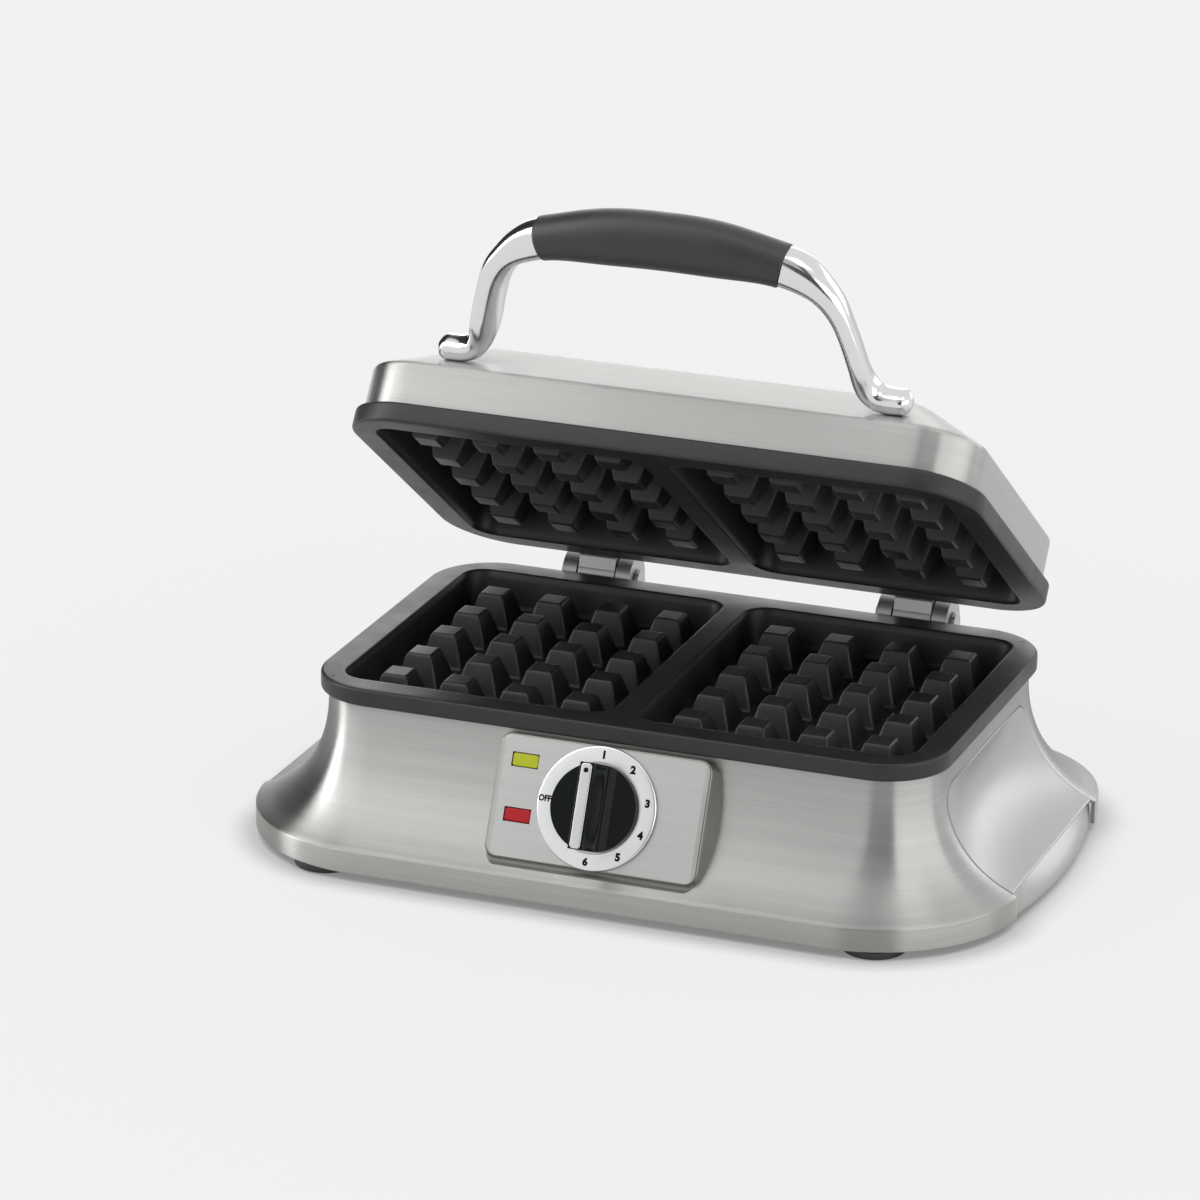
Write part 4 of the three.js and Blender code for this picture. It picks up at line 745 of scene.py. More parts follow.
@dataclass
class GridPlate:
    """A cast plate: a flat rim round two wells, each with a field of studs."""

    rim: float = 11.3
    crest: float = 10.0
    depth: float = 14.5
    floor: float = 3.0
    draft: float = 3.0
    well_corner: float = 9.0
    pitch: float = 24.67
    root: float = 18.0
    tip: float = 9.6
    recess: float = 1.8
    gap: float = 20.0
    columns: int = 4
    rows: int = 5
    soft: float = 0.9
    rim_edge: float = 1.4
    margin: float = 9.6  # from the plate's edge to the grid of lines
    near_edge: float = 12.5  # strip with close lines inside the grid's end
    edge_lines: int = 22
    merge: float = 0.22  # of two lines closer than this, one goes
    pan_taper: Triple = (0.985, 0.975, 1.0)
    near_stud: tuple[float, ...] = (
        0.0, 2.4, 3.9, 4.4, 4.8, 5.2, 5.8, 6.9, 8.0, 8.6, 9.0, 9.5, 10.2, 11.2, 12.335)
    near_crest: tuple[float, ...] = (0.0, 2.5, 4.2, 4.7, 5.1, 5.6, 6.2, 6.8, 7.4, 7.9, 8.4, 9.0, 9.6)

    def lines(self, cells: int, gap: float, end: float) -> Array:
        """Grid lines of one direction, close together where a stud or a wall turns.

        Args:
            cells: studs on one side of the middle when there is a gap, or in all when there is none.
            gap: space between the two fields, 0 for one field.
            end: outermost line.

        Returns:
            The sorted lines.
        """
        near, extra = np.array(self.near_stud), np.array(self.near_crest if gap else (0.0,))
        if gap:
            centres = gap / 2 + (np.arange(cells) + 0.5) * self.pitch
            centres = np.concatenate([-centres, centres])
        else:
            centres = (np.arange(cells) - (cells - 1) / 2) * self.pitch
        edge = end - np.linspace(0.0, self.near_edge, self.edge_lines)
        field = (centres[:, None] + np.concatenate([-near[::-1], near[1:]])[None, :]).ravel()
        field = field[np.abs(field) < edge.min() - FIT_GAP]
        out = np.unique(np.round(np.concatenate([field, extra, -extra, edge, -edge]), 3))
        return out[np.concatenate([[True], np.diff(out) > self.merge])]

    def depth_at(self, x: Array, y: Array) -> Array:
        """Height of the plate below the mating plane, 0 on the rim.

        Each well is a rounded box whose wall leans in by its draft, and each stud a square pyramid cut off
        at its tip. Where two of them meet, the higher wins, with the join rounded.
        """
        low, high = self.crest / 2, PLATE_X - self.rim
        cx, hx, hy = (low + high) / 2, (high - low) / 2, PLATE_Y - self.rim
        qx, qy = np.abs(np.abs(x) - cx) - (hx - self.well_corner), np.abs(y) - (hy - self.well_corner)
        outside = np.hypot(np.maximum(qx, 0), np.maximum(qy, 0)) + np.minimum(np.maximum(qx, qy), 0)
        wall = (outside - self.well_corner) * self.depth / self.draft
        ux = np.abs((np.abs(np.abs(x) - self.gap / 2) / self.pitch) % 1.0 - 0.5) * self.pitch
        uy = np.abs(((y / self.pitch + self.rows / 2) % 1.0) - 0.5) * self.pitch
        slope = (self.depth - self.recess) / ((self.root - self.tip) / 2)
        stud = -self.recess - (np.maximum(ux, uy) - self.tip / 2) * slope
        beyond = (np.abs(x) > self.gap / 2 + self.columns * self.pitch) | (np.abs(x) < self.gap / 2)
        beyond |= np.abs(y) > self.rows * self.pitch / 2
        stud = -self.smooth_max(-np.where(beyond, -self.depth - 5.0, stud), self.recess, self.soft)
        top = self.smooth_max(self.smooth_max(stud, -self.depth, self.soft * 1.6), wall, self.soft)
        return -self.smooth_max(-top, 0.0, self.soft * 0.8)

    @staticmethod
    def smooth_max(a: Array, b: Array | float, soft: float) -> Array:
        """The larger of two surfaces with their join rounded, exact further away than the rounding."""
        gap = np.maximum(soft - np.abs(a - b), 0.0) / soft
        return np.maximum(a, b) + gap * gap * soft / 4

    def build(self, name: str, node: str, place: Place, rim_height: float, body: str) -> None:
        """One plate, drawn with its mating face up.

        Args:
            name, node, body: the piece's name, the solid that it stands for and the body that it rides on.
            place: the plate's frame, with z 0 on the mating plane.
            rim_height: thickness of the rim.
        """
        xs = self.lines(self.columns, self.gap, PLATE_X - self.margin)
        x, y = np.meshgrid(xs, self.lines(self.rows, 0.0, PLATE_Y - self.margin))
        top = np.stack([x, y, self.depth_at(x, y)], axis=-1)
        edge = border(top)[:, :2]
        core = np.array([PLATE_X, PLATE_Y]) - PLATE_CORNER
        profile = rounded_profile(
            [(0.0, -self.rim_edge - 2.0), (0.0, 0.0), (-rim_height, 0.0), (-rim_height, -8.0)],
            [self.rim_edge, self.rim_edge], 5)
        rows = [lifted(edge, 0.0)]
        rows += [lifted(pushed_out(edge, core, PLATE_CORNER + out), drop) for drop, out in profile]
        pan = rows[-1] * np.array(self.pan_taper)
        pan[:, 2] = -self.depth - self.floor
        shell = Shell().grid(top).grid(np.stack(rows)).grid(np.stack([rows[-1], pan])).cap(pan)
        shell.piece(name, place, NONSTICK, body, node)


@dataclass
class LidCover:
    """The lid's brushed cover: an upright wall, a bevel all round and a flat top."""

    inset: float = 3.0
    low: float = 8.3
    wall_top: float = 25.0
    top: float = 43.5
    bevel_run: float = 30.0
    plateau_radius: float = 16.0
    crease: float = 1.6
    hem: float = 1.4  # turned in under the wall
    brow: float = 6.0  # last ring of the top inside the bevel
    row_step: float = 4.0

    def build(self, place: Place) -> None:
        """The wall, bevel and top as rows of rounded rectangles, each crease rounded."""
        inner = self.inset + self.bevel_run
        profile = rounded_profile(
            [(self.inset + self.hem, self.low), (self.inset, self.low), (self.inset, self.wall_top),
             (inner, self.top), (inner + self.brow, self.top)], [0.4, self.crease, self.crease], 6)
        dense = [profile[0]]
        for a, b in zip(profile[:-1], profile[1:]):
            parts = max(1, int(np.hypot(*(b - a)) / self.row_step))
            dense += [a + (b - a) * k / parts for k in range(1, parts + 1)]
        inset, z = np.array(dense).T
        share = np.clip((inset - self.inset) / self.bevel_run, 0.0, 1.0)
        radius = (PLATE_CORNER - self.inset) + (self.plateau_radius - PLATE_CORNER + self.inset) * share
        radius = radius - np.maximum(inset - inner, 0.0)
        surface = lifted(rounded_outline(PLATE_X - inset, PLATE_Y - inset, radius, 24, 14), z)
        Shell().grid(surface).cap(surface[-1]).piece("lid_shell", place, STEEL, "lid", "lid_cover")


@dataclass
class Handle:
    """The arched handle: a polished bar on two outward feet, with a soft grip over its middle."""

    seat: float = 12.4
    lean: float = radians(18.0)
    half_span: float = 94.0
    rise: float = 56.95
    foot_half: float = 4.5
    leg_half: float = 4.2
    bend_half: float = 5.6
    neck_half: float = 7.6
    foot_depth: float = 5.6
    depth: float = 7.0
    core_half: float = 5.4
    toe_in: float = radians(15.0)
    aside: float = 0.8
    grip_half: float = 47.9
    grip_bore: float = 5.7
    grip_end: Pair = (8.2, 8.6)
    grip_middle: Pair = (11.0, 9.6)
    grip_roll: Pair = (0.55, 0.9)
    lift: float = 5.17
    bend: Pair = (0.5, 0.32)  # share of the rise where a change starts, and over which it goes on
    neck: Pair = (0.76, 0.17)
    toe_end: Pair = (0.7, 0.25)
    toe_start: float = 0.25
    foot_share: float = 0.3
    bar_section: tuple[int, float] = (96, 2.6)  # sides and power
    grip_section: tuple[int, float] = (56, 2.2)
    smoothing: int = 25
    half_line: tuple[Pair, ...] = (  # from the middle out to a foot's tip, in shares of span and rise
        (0, 1), (0.15, 0.995), (0.3, 0.975), (0.43, 0.945), (0.525, 0.91), (0.615, 0.835), (0.70, 0.675),
        (0.755, 0.425), (0.78, 0.26), (0.802, 0.13), (0.835, 0.035), (0.885, 0), (0.94, 0), (1, 0))

    def line(self, count: int = 520) -> Array:
        """The whole centre line as evenly spaced points, by a centripetal curve through the shares.

        Between two points the curve is the blend of Barry and Goldman, with knots at the square root of
        distance, and a bell-shaped moving average takes out what is left of its kinks.

        Args:
            count: points in all.

        Returns:
            Points by x and z.
        """
        half = np.array(self.half_line) * np.array([self.half_span, self.rise]) + np.array([0.0, self.lift])
        points = np.concatenate([(half * np.array([-1.0, 1.0]))[:0:-1], half])
        padded = np.concatenate([2 * points[:1] - points[1:2], points, 2 * points[-1:] - points[-2:-1]])
        knots = np.concatenate([[0.0], np.cumsum(np.linalg.norm(np.diff(padded, axis=0), axis=1) ** 0.5)])
        out = []
        for k in range(1, len(padded) - 2):
            p, t = padded[k - 1:k + 3], knots[k - 1:k + 3]
            s = np.linspace(t[1], t[2], 24, endpoint=False)[:, None]
            mix = lambda a, b, ta, tb: (tb - s) / (tb - ta) * a + (s - ta) / (tb - ta) * b
            a1, a2, a3 = (mix(p[i], p[i + 1], t[i], t[i + 1]) for i in range(3))
            out.append(mix(mix(a1, a2, t[0], t[2]), mix(a2, a3, t[1], t[3]), t[1], t[2]))
        fine = np.concatenate(out + [points[-1:]])
        travelled = along(fine)
        even = np.linspace(0.0, travelled[-1], count)
        points = np.stack([np.interp(even, travelled, fine[:, i]) for i in (0, 1)], axis=-1)
        weight = np.hanning(self.smoothing)[1:-1]
        reach = len(weight) // 2
        padded = np.concatenate([
            2 * points[:1] - points[reach:0:-1], points, 2 * points[-1:] - points[-2:-reach - 2:-1]])
        return np.stack([np.convolve(padded[:, i], weight / weight.sum(), "valid") for i in (0, 1)], axis=-1)

    def stand(self, lid: Place, cover: LidCover) -> Place:
        """The handle's frame: up the front bevel by the seat, square to it, then leaned forward."""
        bevel = atan2(cover.top - cover.wall_top, cover.bevel_run)
        back = -(PLATE_Y - cover.inset) + self.seat * cos(bevel)
        return lid.moved(self.aside, back, cover.wall_top + self.seat * sin(bevel)).tilted(bevel + self.lean)

    def build(self, place: Place) -> None:
        """The bar in one piece, and the grip, a tube with a ring at its left end and an open right end."""
        line = self.line()
        up = (line[:, 1] - self.lift) / self.rise
        leg = blend(self.leg_half, self.bend_half, (up - self.bend[0]) / self.bend[1])
        leg = blend(leg, self.neck_half, (up - self.neck[0]) / self.neck[1])
        foot = np.clip(up / self.foot_share, 0.0, 1.0)
        travelled = along(line)
        tip = np.minimum(travelled, travelled[-1] - travelled)
        round_end = round_off(1 - np.minimum(tip / self.foot_half, 1.0))
        core = np.abs(line[:, 0]) < self.grip_half - 1.0
        halves = [np.where(core, self.core_half, blend(low, high, foot)) * round_end
                  for low, high in ((self.foot_half, leg), (self.foot_depth, self.depth))]
        bar = swept(line, *halves, *self.bar_section)
        turned = np.sign(line[:, 0]) * tan(self.toe_in) * blend(0.0, 1.0, up / self.toe_start)
        turned = turned * blend(1.0, 0.0, (up - self.toe_end[0]) / self.toe_end[1])
        bar[:, :, 0] -= turned[:, None] * bar[:, :, 1]
        Shell().grid(bar).piece("handle_bar", place, CHROME, "lid", "handle_frame")

        middle = line[np.abs(line[:, 0]) <= self.grip_half]
        share = np.linspace(0.0, 1.0, len(middle))
        size, width = self.grip_roll
        end = np.minimum(np.minimum(share, 1 - share) * 2 * self.grip_half / width, 1.0)
        roll = size * (1 - round_off(1 - end))
        swell = np.sin(pi * share)
        halves = [blend(low, high, swell) - roll for low, high in zip(self.grip_end, self.grip_middle)]
        sleeve = swept(middle, *halves, *self.grip_section)
        bore = swept(middle, *[np.full(share.shape, self.grip_bore)] * 2, self.grip_section[0])
        shell = Shell().grid(sleeve).grid(np.stack([bore[0], sleeve[0]]))
        shell.piece("grip_sleeve", place, RUBBER, "lid", "handle_grip")


@dataclass
class Panel:
    """The front panel: a flat face with two lens openings on a bezel that runs back into the skirt."""

    width: float = 84.3
    height: float = 47.1
    corner: float = 5.0
    edge: float = 0.9
    flare: float = 0.28
    deep: float = 16.0
    inner_round: float = 1.6
    lens_x: float = -31.0
    lens_size: Pair = (10.1, 4.9)
    lens_y: Pair = (13.8, -6.8)
    recess: float = 2.2
    chin: float = 2.5
    chin_inset: float = 0.15
    chin_ends: Pair = (-0.3, 0.35)  # below the face at the top, above the flare at the foot
    flare_level: Pair = (-22.74, -1.87)  # a point of the flare in the panel's y and z
    flare_slope: float = -0.80

    def opening(self) -> Pair:
        """Half width and half height of a lens opening."""
        return self.lens_size[0] / 2 + FIT_GAP, self.lens_size[1] / 2 + FIT_GAP

    def face(self) -> tuple[Array, Array]:
        """The flat face as a grid of points, and which of its tiles aren't lens openings."""
        hx, hy = (size / 2 - self.edge - self.inner_round for size in (self.width, self.height))
        lx, ly = self.opening()
        turn = np.array([0.25, 0.5, 0.8, 1.1, 1.45, 1.8, 2.2])
        to_lens = lambda y: np.min([np.abs(y - middle) for middle in self.lens_y], axis=0)
        sides = [self.lens_x - lx, self.lens_x + lx]
        xs = np.unique(np.concatenate([np.linspace(-hx, hx, 13), hx - turn, turn - hx, sides]))
        cuts = [y + s * ly for y in self.lens_y for s in (-1, 1)]
        ys = np.unique(np.concatenate([np.linspace(-hy, hy, 9), hy - turn, turn - hy, cuts]))
        xs, ys = xs[np.abs(xs - self.lens_x) >= lx - SAME], ys[to_lens(ys) >= ly - SAME]
        mx, my = np.meshgrid((xs[1:] + xs[:-1]) / 2, (ys[1:] + ys[:-1]) / 2)
        x, y = np.meshgrid(xs, ys)
        return np.stack([x, y, 0 * x], axis=-1), ~((np.abs(mx - self.lens_x) < lx) & (to_lens(my) < ly))

    def outline(self, inset: float) -> Array:
        """The panel's edge, drawn in by an inset."""
        half = (self.width / 2 - inset, self.height / 2 - inset)
        return rounded_outline(*half, self.corner - inset, 12, 10)[0]

    def ring_points(self, loop: Array, inset: float, z: float) -> Array:
        """A loop pushed out to the rounded rectangle at an inset and a depth.

        The walls lean out by the flare for each unit of depth, and the lower wall as much again.

        Args:
            loop: points of any loop inside the outline, by x and y.
            inset, z: how far the outline lies inside the panel's edge, and its height, 0 on the face.

        Returns:
            Points by x, y and z.
        """
        spread = self.flare * max(-z - self.edge, 0.0)
        radius = self.corner + spread / 2
        core = np.array([self.width, self.height]) / 2 - self.corner
        wide = np.array([self.width / 2 + spread, self.height / 2 + spread / 2]) - radius
        return lifted(pushed_out(loop, core, radius - inset, wide / core) + np.array([0.0, -spread / 2]), z)

    def build(self, place: Place) -> None:
        """The face with its openings, the bezel, and the chin that runs from the face down onto the flare."""
        flat, closed = self.face()
        shell = Shell().grid(flat, closed)
        for y in self.lens_y:
            loop = rounded_outline(*self.opening(), 0.02, 1, 1)[0] + np.array([self.lens_x, y])
            shell.grid(np.stack([lifted(loop, z) for z in (0.0, -self.recess)]))
        edge = border(flat)
        shell.grid(np.stack([edge, self.ring_points(edge[:, :2], self.edge, 0.0)]))
        shell.piece("panel_face", place, FACE_STEEL, "base", "control_panel")

        outline = self.outline(1.0)
        rows = [self.ring_points(outline, self.edge * (1 - np.sin(a)), -self.edge * (1 - np.cos(a)))
                for a in np.linspace(0.0, pi / 2 - self.flare, 6)]
        rows += [self.ring_points(outline, 0.0, -self.edge * 0.8 - s * self.deep)
                 for s in np.linspace(0.0, 1.0, 12)[1:]]
        Shell().grid(np.stack(rows)).piece("panel_bezel", place, BEZEL, "base")

        low = self.outline(self.chin_inset)
        low = low[low[:, 1] < self.corner - self.height / 2]
        x, y = low[np.argsort(low[:, 0])].T
        down = np.clip((-y - self.height / 2 + self.corner) / (self.corner - self.chin_inset), 0.0, 1.0)
        share = np.linspace(0.0, 1.0, 7)[:, None]
        v = y[None, :] - self.chin * share * down[None, :]
        start, above = self.chin_ends
        on_flare = self.flare_level[1] + self.flare_slope * (v - self.flare_level[0]) + above
        z = start * (1 - share) + on_flare * share
        strip = np.stack([np.broadcast_to(x[None, :], v.shape), v, z], axis=-1)
        under = strip[-1] - np.array([0.0, 0.2, 1.2])
        # The chin wears the darker bezel colour, painted shade below the panel.
        Shell().grid(np.concatenate([strip, under[None]])[:, ::-1]).piece("panel_chin", place, SHADED_CHIN_BEZEL, "base")


@dataclass
class Lights:
    """The two indicator lenses: small rounded blocks set into the panel."""

    panel: Panel
    proud: float = -0.15
    back: float = -2.6
    edge: float = 0.5
    corner: float = 0.9

    def build(self, place: Place) -> None:
        """Both lenses as rows of rounded rectangles, closed at both ends."""
        hx, hy = self.panel.lens_size[0] / 2, self.panel.lens_size[1] / 2
        profile = rounded_profile([(2.0, self.proud), (0.0, self.proud), (0.0, self.back)], [self.edge])
        inset = profile[:, 0]
        ring = rounded_outline(hx - inset, hy - inset, np.maximum(self.corner - inset, 0.2), 6, 2)
        for word, y, finish in zip(("green", "red"), self.panel.lens_y, (GREEN, RED)):
            shell = block(ring + np.array([self.panel.lens_x, y]), profile)
            shell.piece(f"{word}_window", place, finish, "base", f"{word}_lens")


class Mark(Enum):
    """Marks round the dial, each with its angle clockwise from the top in degrees."""

    OFF = -87.0
    ONE = 0.0
    TWO = 37.0
    THREE = 77.0
    FOUR = 112.0
    FIVE = 146.0
    SIX = 183.0

    def text(self) -> str:
        """What is printed at the mark."""
        return "OFF" if self is Mark.OFF else str(list(Mark).index(self))


@dataclass
class Dial:
    """The printed ring round the knob, and the knob with its raised bar and bright inlay."""

    ring_radius: float = 23.4
    ring_inner: float = 17.3
    ring_low: float = 0.05
    ring_top: float = 1.9
    mark_radius: float = 20.1
    mark_height: float = 3.2
    mark_bold: float = 0.28
    mark_flat: float = 0.2
    word_width: float = 5.0
    word_tall: float = 0.78  # share of the numbers' height
    word_bold: float = 0.22
    word_shift: float = -0.35
    knob_radius: float = 16.7
    knob_low: float = 1.4
    disc_top: float = 5.8
    bar_top: float = 19.3
    bar_half: float = 2.8
    bar_root: float = 4.9
    bar_reach: float = 16.2
    ramp: float = 2.6
    inlay_half: float = 2.05
    inlay_length: float = 31.7
    inlay_corner: float = 1.2
    inlay_sink: float = 0.7
    proud: float = 0.25  # the inlay above the bar
    dot_proud: float = 0.3
    dot_radius: float = 0.95
    dot_inset: float = 2.6
    end_round: Pair = (0.6, 0.45)  # length and drop of the rounding where the knob is trimmed

    def ring(self, place: Place) -> None:
        """The ring, turned from a profile with rounded edges."""
        profile = rounded_profile([
            (self.ring_inner, self.ring_low), (self.ring_inner, self.ring_top),
            (self.ring_radius, self.ring_top), (self.ring_radius, self.ring_low),
            (self.ring_inner, self.ring_low)], [0.25, 0.9, 0.0], 5)
        Shell().grid(lathe(profile, 96)).piece("printed_ring", place, RING, "base", "dial_ring")

    def marks(self, place: Place) -> None:
        """The printed numbers and the word for off, upright, each a flat text made a mesh."""
        for mark in Mark:
            word = mark is Mark.OFF
            text = bpy.data.curves.new(f"mark_{mark.text()}", "FONT")
            text.body = mark.text()
            text.align_x, text.align_y = "CENTER", "CENTER"
            text.size = self.mark_height * 1.4
            text.bevel_depth = self.word_bold if word else self.mark_bold
            text.bevel_resolution = 0
            text.resolution_u = 6
            holder = linked("text", text)
            bpy.context.view_layer.update()
            graph = bpy.context.evaluated_depsgraph_get()
            mesh = bpy.data.meshes.new_from_object(holder.evaluated_get(graph))
            bpy.data.objects.remove(holder)
            points = np.empty(len(mesh.vertices) * 3)
            mesh.vertices.foreach_get("co", points)
            points = points.reshape(-1, 3)
            low, high = points.min(axis=0), points.max(axis=0)
            points[:, :2] -= ((high + low) / 2)[:2]
            width, height = (high - low)[:2]
            tall = self.mark_height / height
            wide, tall = (self.word_width / width, self.word_tall * tall) if word else (tall, tall)
            angle = radians(mark.value)
            across = self.mark_radius * sin(angle) + (self.word_shift if word else 0.0)
            centre = np.array([across, self.mark_radius * cos(angle), self.ring_top + 0.02])
            moved = place.metres(points * np.array([wide, tall, self.mark_flat]) + centre)
            mesh.vertices.foreach_set("co", moved.ravel())
            mesh.update()
            settle(linked(f"dial_mark_{mark.name.lower()}", mesh), INK, "base")

    def knob_height(self, x: Array) -> Array:
        """Height of the knob across its bar: flat on top, a steep flank, and a ramp down to the disc.

        The flank falls by a cosine from the bar's top at bar_half to the ramp's height at bar_root, and the
        ramp falls one for one to the disc.
        """
        far = np.abs(x)
        s = np.clip((far - self.bar_half) / (self.bar_root - self.bar_half), 0.0, 1.0)
        foot = self.disc_top + self.ramp
        height = foot + (self.bar_top - foot) * (1 + np.cos(pi * s ** 0.6)) / 2
        height = np.where(far > self.bar_root, np.maximum(foot - (far - self.bar_root), self.disc_top), height)
        edge = np.clip((far - self.bar_half + 0.5) / 0.5, 0.0, 1.0)
        return height - 0.25 * edge ** 2 * (far <= self.bar_root)

    def knob(self, place: Place) -> None:
        """The knob: its height across x, carried along y and trimmed to a circle."""
        r, root, half, foot = self.knob_radius, self.bar_root, self.bar_half, self.bar_root + self.ramp
        half_x = np.concatenate([
            half * np.array([0.0, 0.3, 0.6, 0.8, 0.88, 0.94, 0.98]),
            half + (root - half) * np.linspace(0, 1, 16) ** 1.6,
            root + self.ramp * np.array([0.06, 0.15, 0.5, 0.85, 0.94, 1.0]), foot + np.array([0.12, 0.3]),
            foot + 0.3 + (r - foot - 0.3) * np.sin(np.linspace(0.12, pi / 2, 16))])
        half_x = half_x[half_x < r - 1e-3]
        x = np.unique(np.round(np.concatenate([-half_x, half_x]), 4))
        long = np.sqrt(r * r - x * x)
        long = np.where(np.abs(x) < foot, np.minimum(long, self.bar_reach), long)[:, None]
        t = np.concatenate([
            np.linspace(-1.0, -0.955, 7), np.linspace(-0.94, 0.94, 41), np.linspace(0.955, 1.0, 7)])
        reach, drop = self.end_round
        end = np.clip((np.abs(t)[None, :] * long - (long - reach)) / reach, 0.0, 1.0)
        z = self.knob_height(x)[:, None] - drop * (1 - round_off(end))
        top = np.stack([np.broadcast_to(x[:, None], z.shape), long * t[None, :], z], axis=-1)
        loop = border(top.swapaxes(0, 1))
        low = lifted(loop[:, :2], self.knob_low)
        brink = loop - np.array([0.0, 0.0, 0.25])
        shell = Shell().grid(top).grid(np.stack([loop, brink, low])).cap(low)
        shell.piece("knob_body", place, KNOB, "knob", "thermostat_knob").visible_glossy = False

        top, low = self.bar_top + self.proud, self.bar_top - self.inlay_sink
        profile = rounded_profile([(self.inlay_corner, top), (0.0, top), (0.0, low)], [0.3], 3)
        inset = profile[:, 0]
        ring = rounded_outline(self.inlay_half - inset, self.inlay_length / 2 - inset,
                               np.maximum(self.inlay_corner - inset * 0.8, 0.3), 6, 6)
        block(ring, profile).piece("pointer_inlay", place, INLAY, "knob", "knob_inlay")
        r, top, low = self.dot_radius, self.bar_top + self.dot_proud, self.bar_top
        dot = lathe(np.array([(0.0, top), (r, top), (r, low), (0.0, low)]), 24)
        dot = dot + np.array([0.0, self.inlay_length / 2 - self.dot_inset, 0.0])
        Shell().grid(dot).piece("pointer_dot", place, INK, "knob")

    def build(self, place: Place) -> None:
        """Everything on the dial."""
        self.ring(place)
        self.marks(place)
        self.knob(place)


@dataclass
class Feet:
    """Round rubber feet, each turned with a recess for its screw."""

    radius: float = 12.3
    bore: float = 2.1
    top: float = 3.0
    recess_radius: float = 5.0
    recess_depth: float = 2.4
    edge: float = 1.2

    def build(self) -> None:
        """The four feet, each where its solid is."""
        profile = rounded_profile([
            (self.bore, self.top), (self.radius, self.top), (self.radius, 0.0), (self.recess_radius, 0.0),
            (self.recess_radius, self.recess_depth), (self.bore, self.recess_depth), (self.bore, self.top)],
            [0.2, self.edge, 0.3, 0.2, 0.0], 5)
        for node in (f"foot_{end}_{side}" for end in ("front", "rear") for side in ("left", "right")):
            centre = centre_of(node)
            place = Place().moved(centre.x, centre.y, 0.0)
            Shell().grid(lathe(profile, 64)).piece(f"rubber_{node}", place, RUBBER, "base", node)


class CarriedNodes:
    """The solids that keep their own mesh and get a finer finish, told by the start of their names."""

    FINISHES: tuple[tuple[Finish, tuple[str, ...]], ...] = (
        (DARK, ("bottom_cover", "lamp_holder")), (RUBBER, ("cord_gland",)),
        (SATIN, ("hinge_bracket", "lid_hinge_arm")),
        (ZINC, ("hinge_pin", "foot_screw", "handle_screw", "lower_element_clamp", "upper_element_clamp",
                "thermostat_shaft", "thermostat_bulb", "thermal_fuse")),
        (SHEATH, ("lower_heating_element", "upper_heating_element")),
        (SHEET, ("lower_heat_reflector", "upper_heat_reflector")),
        (CERAMIC, ("thermostat_body", "terminal_block")), (COPPER, ("thermostat_capillary",)),
        (SLEEVE, ("element_lead", "fuse_lead", "thermostat_lead", "supply_lead")),
        (LAMP, ("green_lamp", "red_lamp")))

    def build(self) -> None:
        """Gives each of them its finish."""
        for name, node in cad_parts.items():
            for finish, starts in self.FINISHES:
                if name.startswith(starts):
                    dress(node, finish)
                    log.info("%s: kept, in %s", name, finish.name)


# Floor, light and camera


def grey(level: float) -> tuple[float, ...]:
    """An opaque grey."""
    return (level,) * 3 + (1.0,)


def toward(azimuth: float, elevation: float, distance: float) -> Triple:
    """A place in metres seen from the object, its azimuth in degrees from the front towards the right."""
    a, e = radians(azimuth), radians(elevation)
    return (distance * cos(e) * sin(a), -distance * cos(e) * cos(a), 0.1 + distance * sin(e))


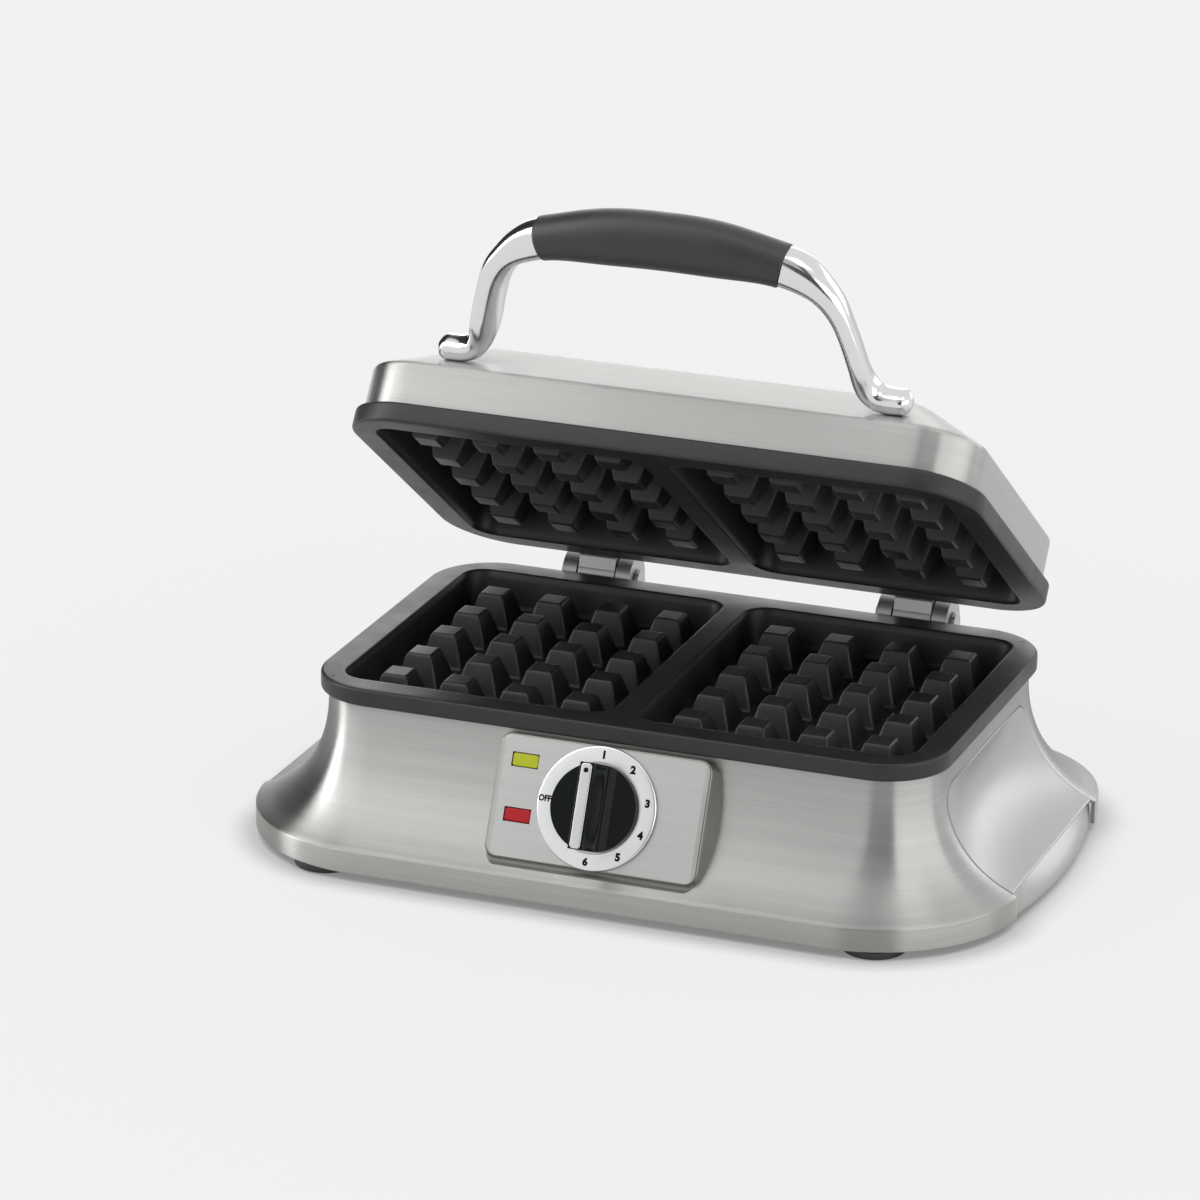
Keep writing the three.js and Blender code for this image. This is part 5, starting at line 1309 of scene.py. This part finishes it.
@dataclass
class Studio:
    """A pale floor that runs out to a backdrop of the same colour, with soft boxes round the object."""

    background: float = 0.885
    floor_colour: float = 0.92
    floor_radius: float = 2600.0
    ambient: float = 0.80
    contact: float = 0.014
    target: Triple = (0.0, 0.0, 0.1)

    def floor(self) -> None:
        """A flat round floor whose colour fades into the backdrop's with distance from the object, with a
        painted contact shadow close to it.
        """
        ring = lathe(np.array([(self.floor_radius, 0.0)]), 96)[0, :-1] * MM
        mesh = bpy.data.meshes.new("floor")
        mesh.from_pydata(ring, [], [list(range(len(ring)))])
        material = bpy.data.materials.new("floor")
        b = Bench.on(material)
        vector = b.add("ShaderNodeTexCoord").outputs["Object"]
        far = b.add("ShaderNodeVectorMath", {0: vector}, operation="LENGTH").outputs["Value"]
        fade = b.ranged(far, (0.24, 0.50), (0.82, 1.0), interpolation_type="SMOOTHSTEP")
        matt = b.add("ShaderNodeBsdfDiffuse", {"Color": grey(self.floor_colour)}).outputs[0]
        # Painted shadow: the backdrop colour darkens where ambient occlusion finds the object near.
        near = b.add("ShaderNodeAmbientOcclusion", {"Distance": self.contact}, samples=12).outputs["AO"]
        painted_contact_shadow = b.shaded(grey(self.background), b.ranged(near, (0.35, 0.98), (0.30, 1.0)))
        glow = b.add("ShaderNodeEmission", {"Color": painted_contact_shadow, "Strength": 1.0}).outputs[0]
        mix = b.add("ShaderNodeMixShader", {0: b.math("MULTIPLY", fade, b.seen()), 1: matt, 2: glow})
        b.add("ShaderNodeOutputMaterial", {"Surface": mix.outputs[0]})
        mesh.materials.append(material)
        floor = linked("floor", mesh)

    def world(self) -> None:
        """A pale backdrop for what the camera and the metal see, and a softer light on everything else."""
        world = bpy.data.worlds.new("studio")
        b = Bench.on(world)
        soft, pale = (
            b.add("ShaderNodeBackground", {"Color": grey(self.background), "Strength": strength}).outputs[0]
            for strength in (self.ambient, 1.0))
        mix = b.add("ShaderNodeMixShader", {0: b.seen(), 1: soft, 2: pale})
        b.add("ShaderNodeOutputWorld", {"Surface": mix.outputs[0]})
        bpy.context.scene.world = world

    def facing(self, at: Triple) -> Quaternion:
        """The turn that makes a thing at a place face the object."""
        return (Vector(self.target) - Vector(at)).to_track_quat("-Z", "Y")

    def soft_box(self, name: str, at: Triple, size: Pair, power: float) -> None:
        """An area lamp that faces the object and lights it without showing in its metal.

        Args:
            name, at, size: the lamp's name, and its place, width and height in metres.
            power: its power in watts.
        """
        lamp = bpy.data.lights.new(name, "AREA")
        lamp.shape = "RECTANGLE"
        lamp.size, lamp.size_y = size
        lamp.energy = power
        holder = linked(name, lamp)
        holder.location = at
        holder.rotation_euler = self.facing(at).to_euler()
        holder.visible_glossy = False

    def card(self, name: str, at: Triple, size: Pair, strength: float) -> None:
        """A board that only reflections see, so that metal has something brighter or darker to show.

        Args:
            name, at, size: the board's name, and its middle, width and height in metres.
            strength: how bright it is, 1 for white.
        """
        turn = self.facing(at).to_matrix()
        corners = [(x * size[0] / 2, y * size[1] / 2, 0.0) for x, y in ((-1, -1), (1, -1), (1, 1), (-1, 1))]
        mesh = bpy.data.meshes.new(name)
        mesh.from_pydata([tuple(turn @ Vector(p) + Vector(at)) for p in corners], [], [[0, 1, 2, 3]])
        card = linked(name, mesh)
        for kind in ("camera", "diffuse", "transmission", "shadow", "volume_scatter"):
            setattr(card, f"visible_{kind}", False)
        material = bpy.data.materials.new(name)
        b = Bench.on(material)
        glow = b.add("ShaderNodeEmission", {"Color": grey(1.0), "Strength": strength})
        b.add("ShaderNodeOutputMaterial", {"Surface": glow.outputs[0]})
        mesh.materials.append(material)

    def build(self) -> None:
        """Floor, world, lamps and cards."""
        self.floor()
        self.world()
        self.soft_box("key", (-0.9, -1.0, 1.5), (1.2, 1.2), 6.0)
        self.soft_box("top", (0.1, 0.3, 1.7), (1.6, 1.0), 4.0)
        for name, at, size, strength in (
                ("bright_left", toward(-73, 24, 1.5), (0.40, 1.7), 5.6),
                ("dark_behind", toward(-113, 22, 1.5), (1.7, 2.1), 0.03),
                ("dark_front", toward(18.5, 28, 1.6), (1.20, 2.0), 0.08),
                ("bright_right", toward(73, 17, 1.6), (2.5, 1.05), 2.0),
                ("bright_lid", (-0.62, -0.53, 0.75), (0.60, 0.55), 1.95),
                ("dark_lid", (0.08, -0.60, 0.72), (0.50, 0.45), 0.55),
                ("bright_top", toward(-38, 70, 1.5), (0.9, 0.7), 1.85),
                ("bright_top_right", toward(68, 66, 1.6), (1.0, 0.6), 2.0),
                ("bright_back_left", toward(-161, 16, 1.8), (1.0, 1.1), 2.8),
                ("bright_rear_right", toward(153, 14, 1.6), (0.6, 0.6), 2.4)):
            self.card(name, at, size, strength)


@dataclass
class PhotoCamera:
    """The camera, from a fit of the plates, the lid and the base in the photograph."""

    azimuth: float = 20.53
    elevation: float = 19.56
    roll: float = 0.73
    distance: float = 2200.0
    focal_pixels: float = 5742.0
    target_x: float = -33.59
    target_z: float = 19.09
    image: float = 1200.0
    sensor: float = 36.0
    clip_end: float = 20.0

    def build(self) -> None:
        """Places the camera and makes it the scene's."""
        az, el, roll = (radians(v) for v in (self.azimuth, self.elevation, self.roll))
        back = Vector((sin(az) * cos(el), -cos(az) * cos(el), sin(el)))
        right = Vector((cos(az), sin(az), 0.0))
        up = back.cross(right)
        data = bpy.data.cameras.new("photo_camera")
        data.sensor_width = self.sensor
        data.lens = self.focal_pixels * self.sensor / self.image
        data.clip_end = self.clip_end
        camera = linked("photo_camera", data)
        target = BASE.metres(np.array([self.target_x, 0.0, self.target_z + MATING_HEIGHT]))
        place = Vector(target) + back * self.distance * MM
        axes = (right * cos(roll) + up * sin(roll), up * cos(roll) - right * sin(roll), back)
        camera.matrix_world = Matrix.Translation(place) @ Matrix(axes).transposed().to_4x4()
        bpy.context.scene.camera = camera


def main() -> None:
    """Builds the sub-assemblies in order, then the studio and the camera."""
    plate, skirt, cover, handle, panel = GridPlate(), Skirt(), LidCover(), Handle(), Panel()
    hinge_y = PLATE_Y + HINGE_BEHIND
    lid = BASE.moved(0.0, hinge_y, HINGE_Z).tilted(-LID_OPEN)
    lid = lid.moved(0.0, -hinge_y, MATING_HEIGHT + FIT_GAP - HINGE_Z)
    panel_place = BASE.moved(0.0, -(PLATE_Y + PANEL_FRONT), PANEL_HEIGHT).tilted(PANEL_TILT)

    skirt.build()
    SideGrip(skirt).build()
    plate.build("lower_plate", "lower_grid_plate", BASE.moved(0.0, 0.0, MATING_HEIGHT), 7.0, "base")
    plate.build("upper_plate", "upper_grid_plate", lid.tilted(pi), 8.0, "lid")
    cover.build(lid)
    handle.build(handle.stand(lid, cover))
    panel.build(panel_place)
    Lights(panel).build(panel_place)
    Dial().build(panel_place)
    Feet().build()
    CarriedNodes().build()
    Studio().build()
    PhotoCamera().build()
    bpy.context.scene.view_settings.view_transform = "Standard"


if __name__ == "__main__":
    main()
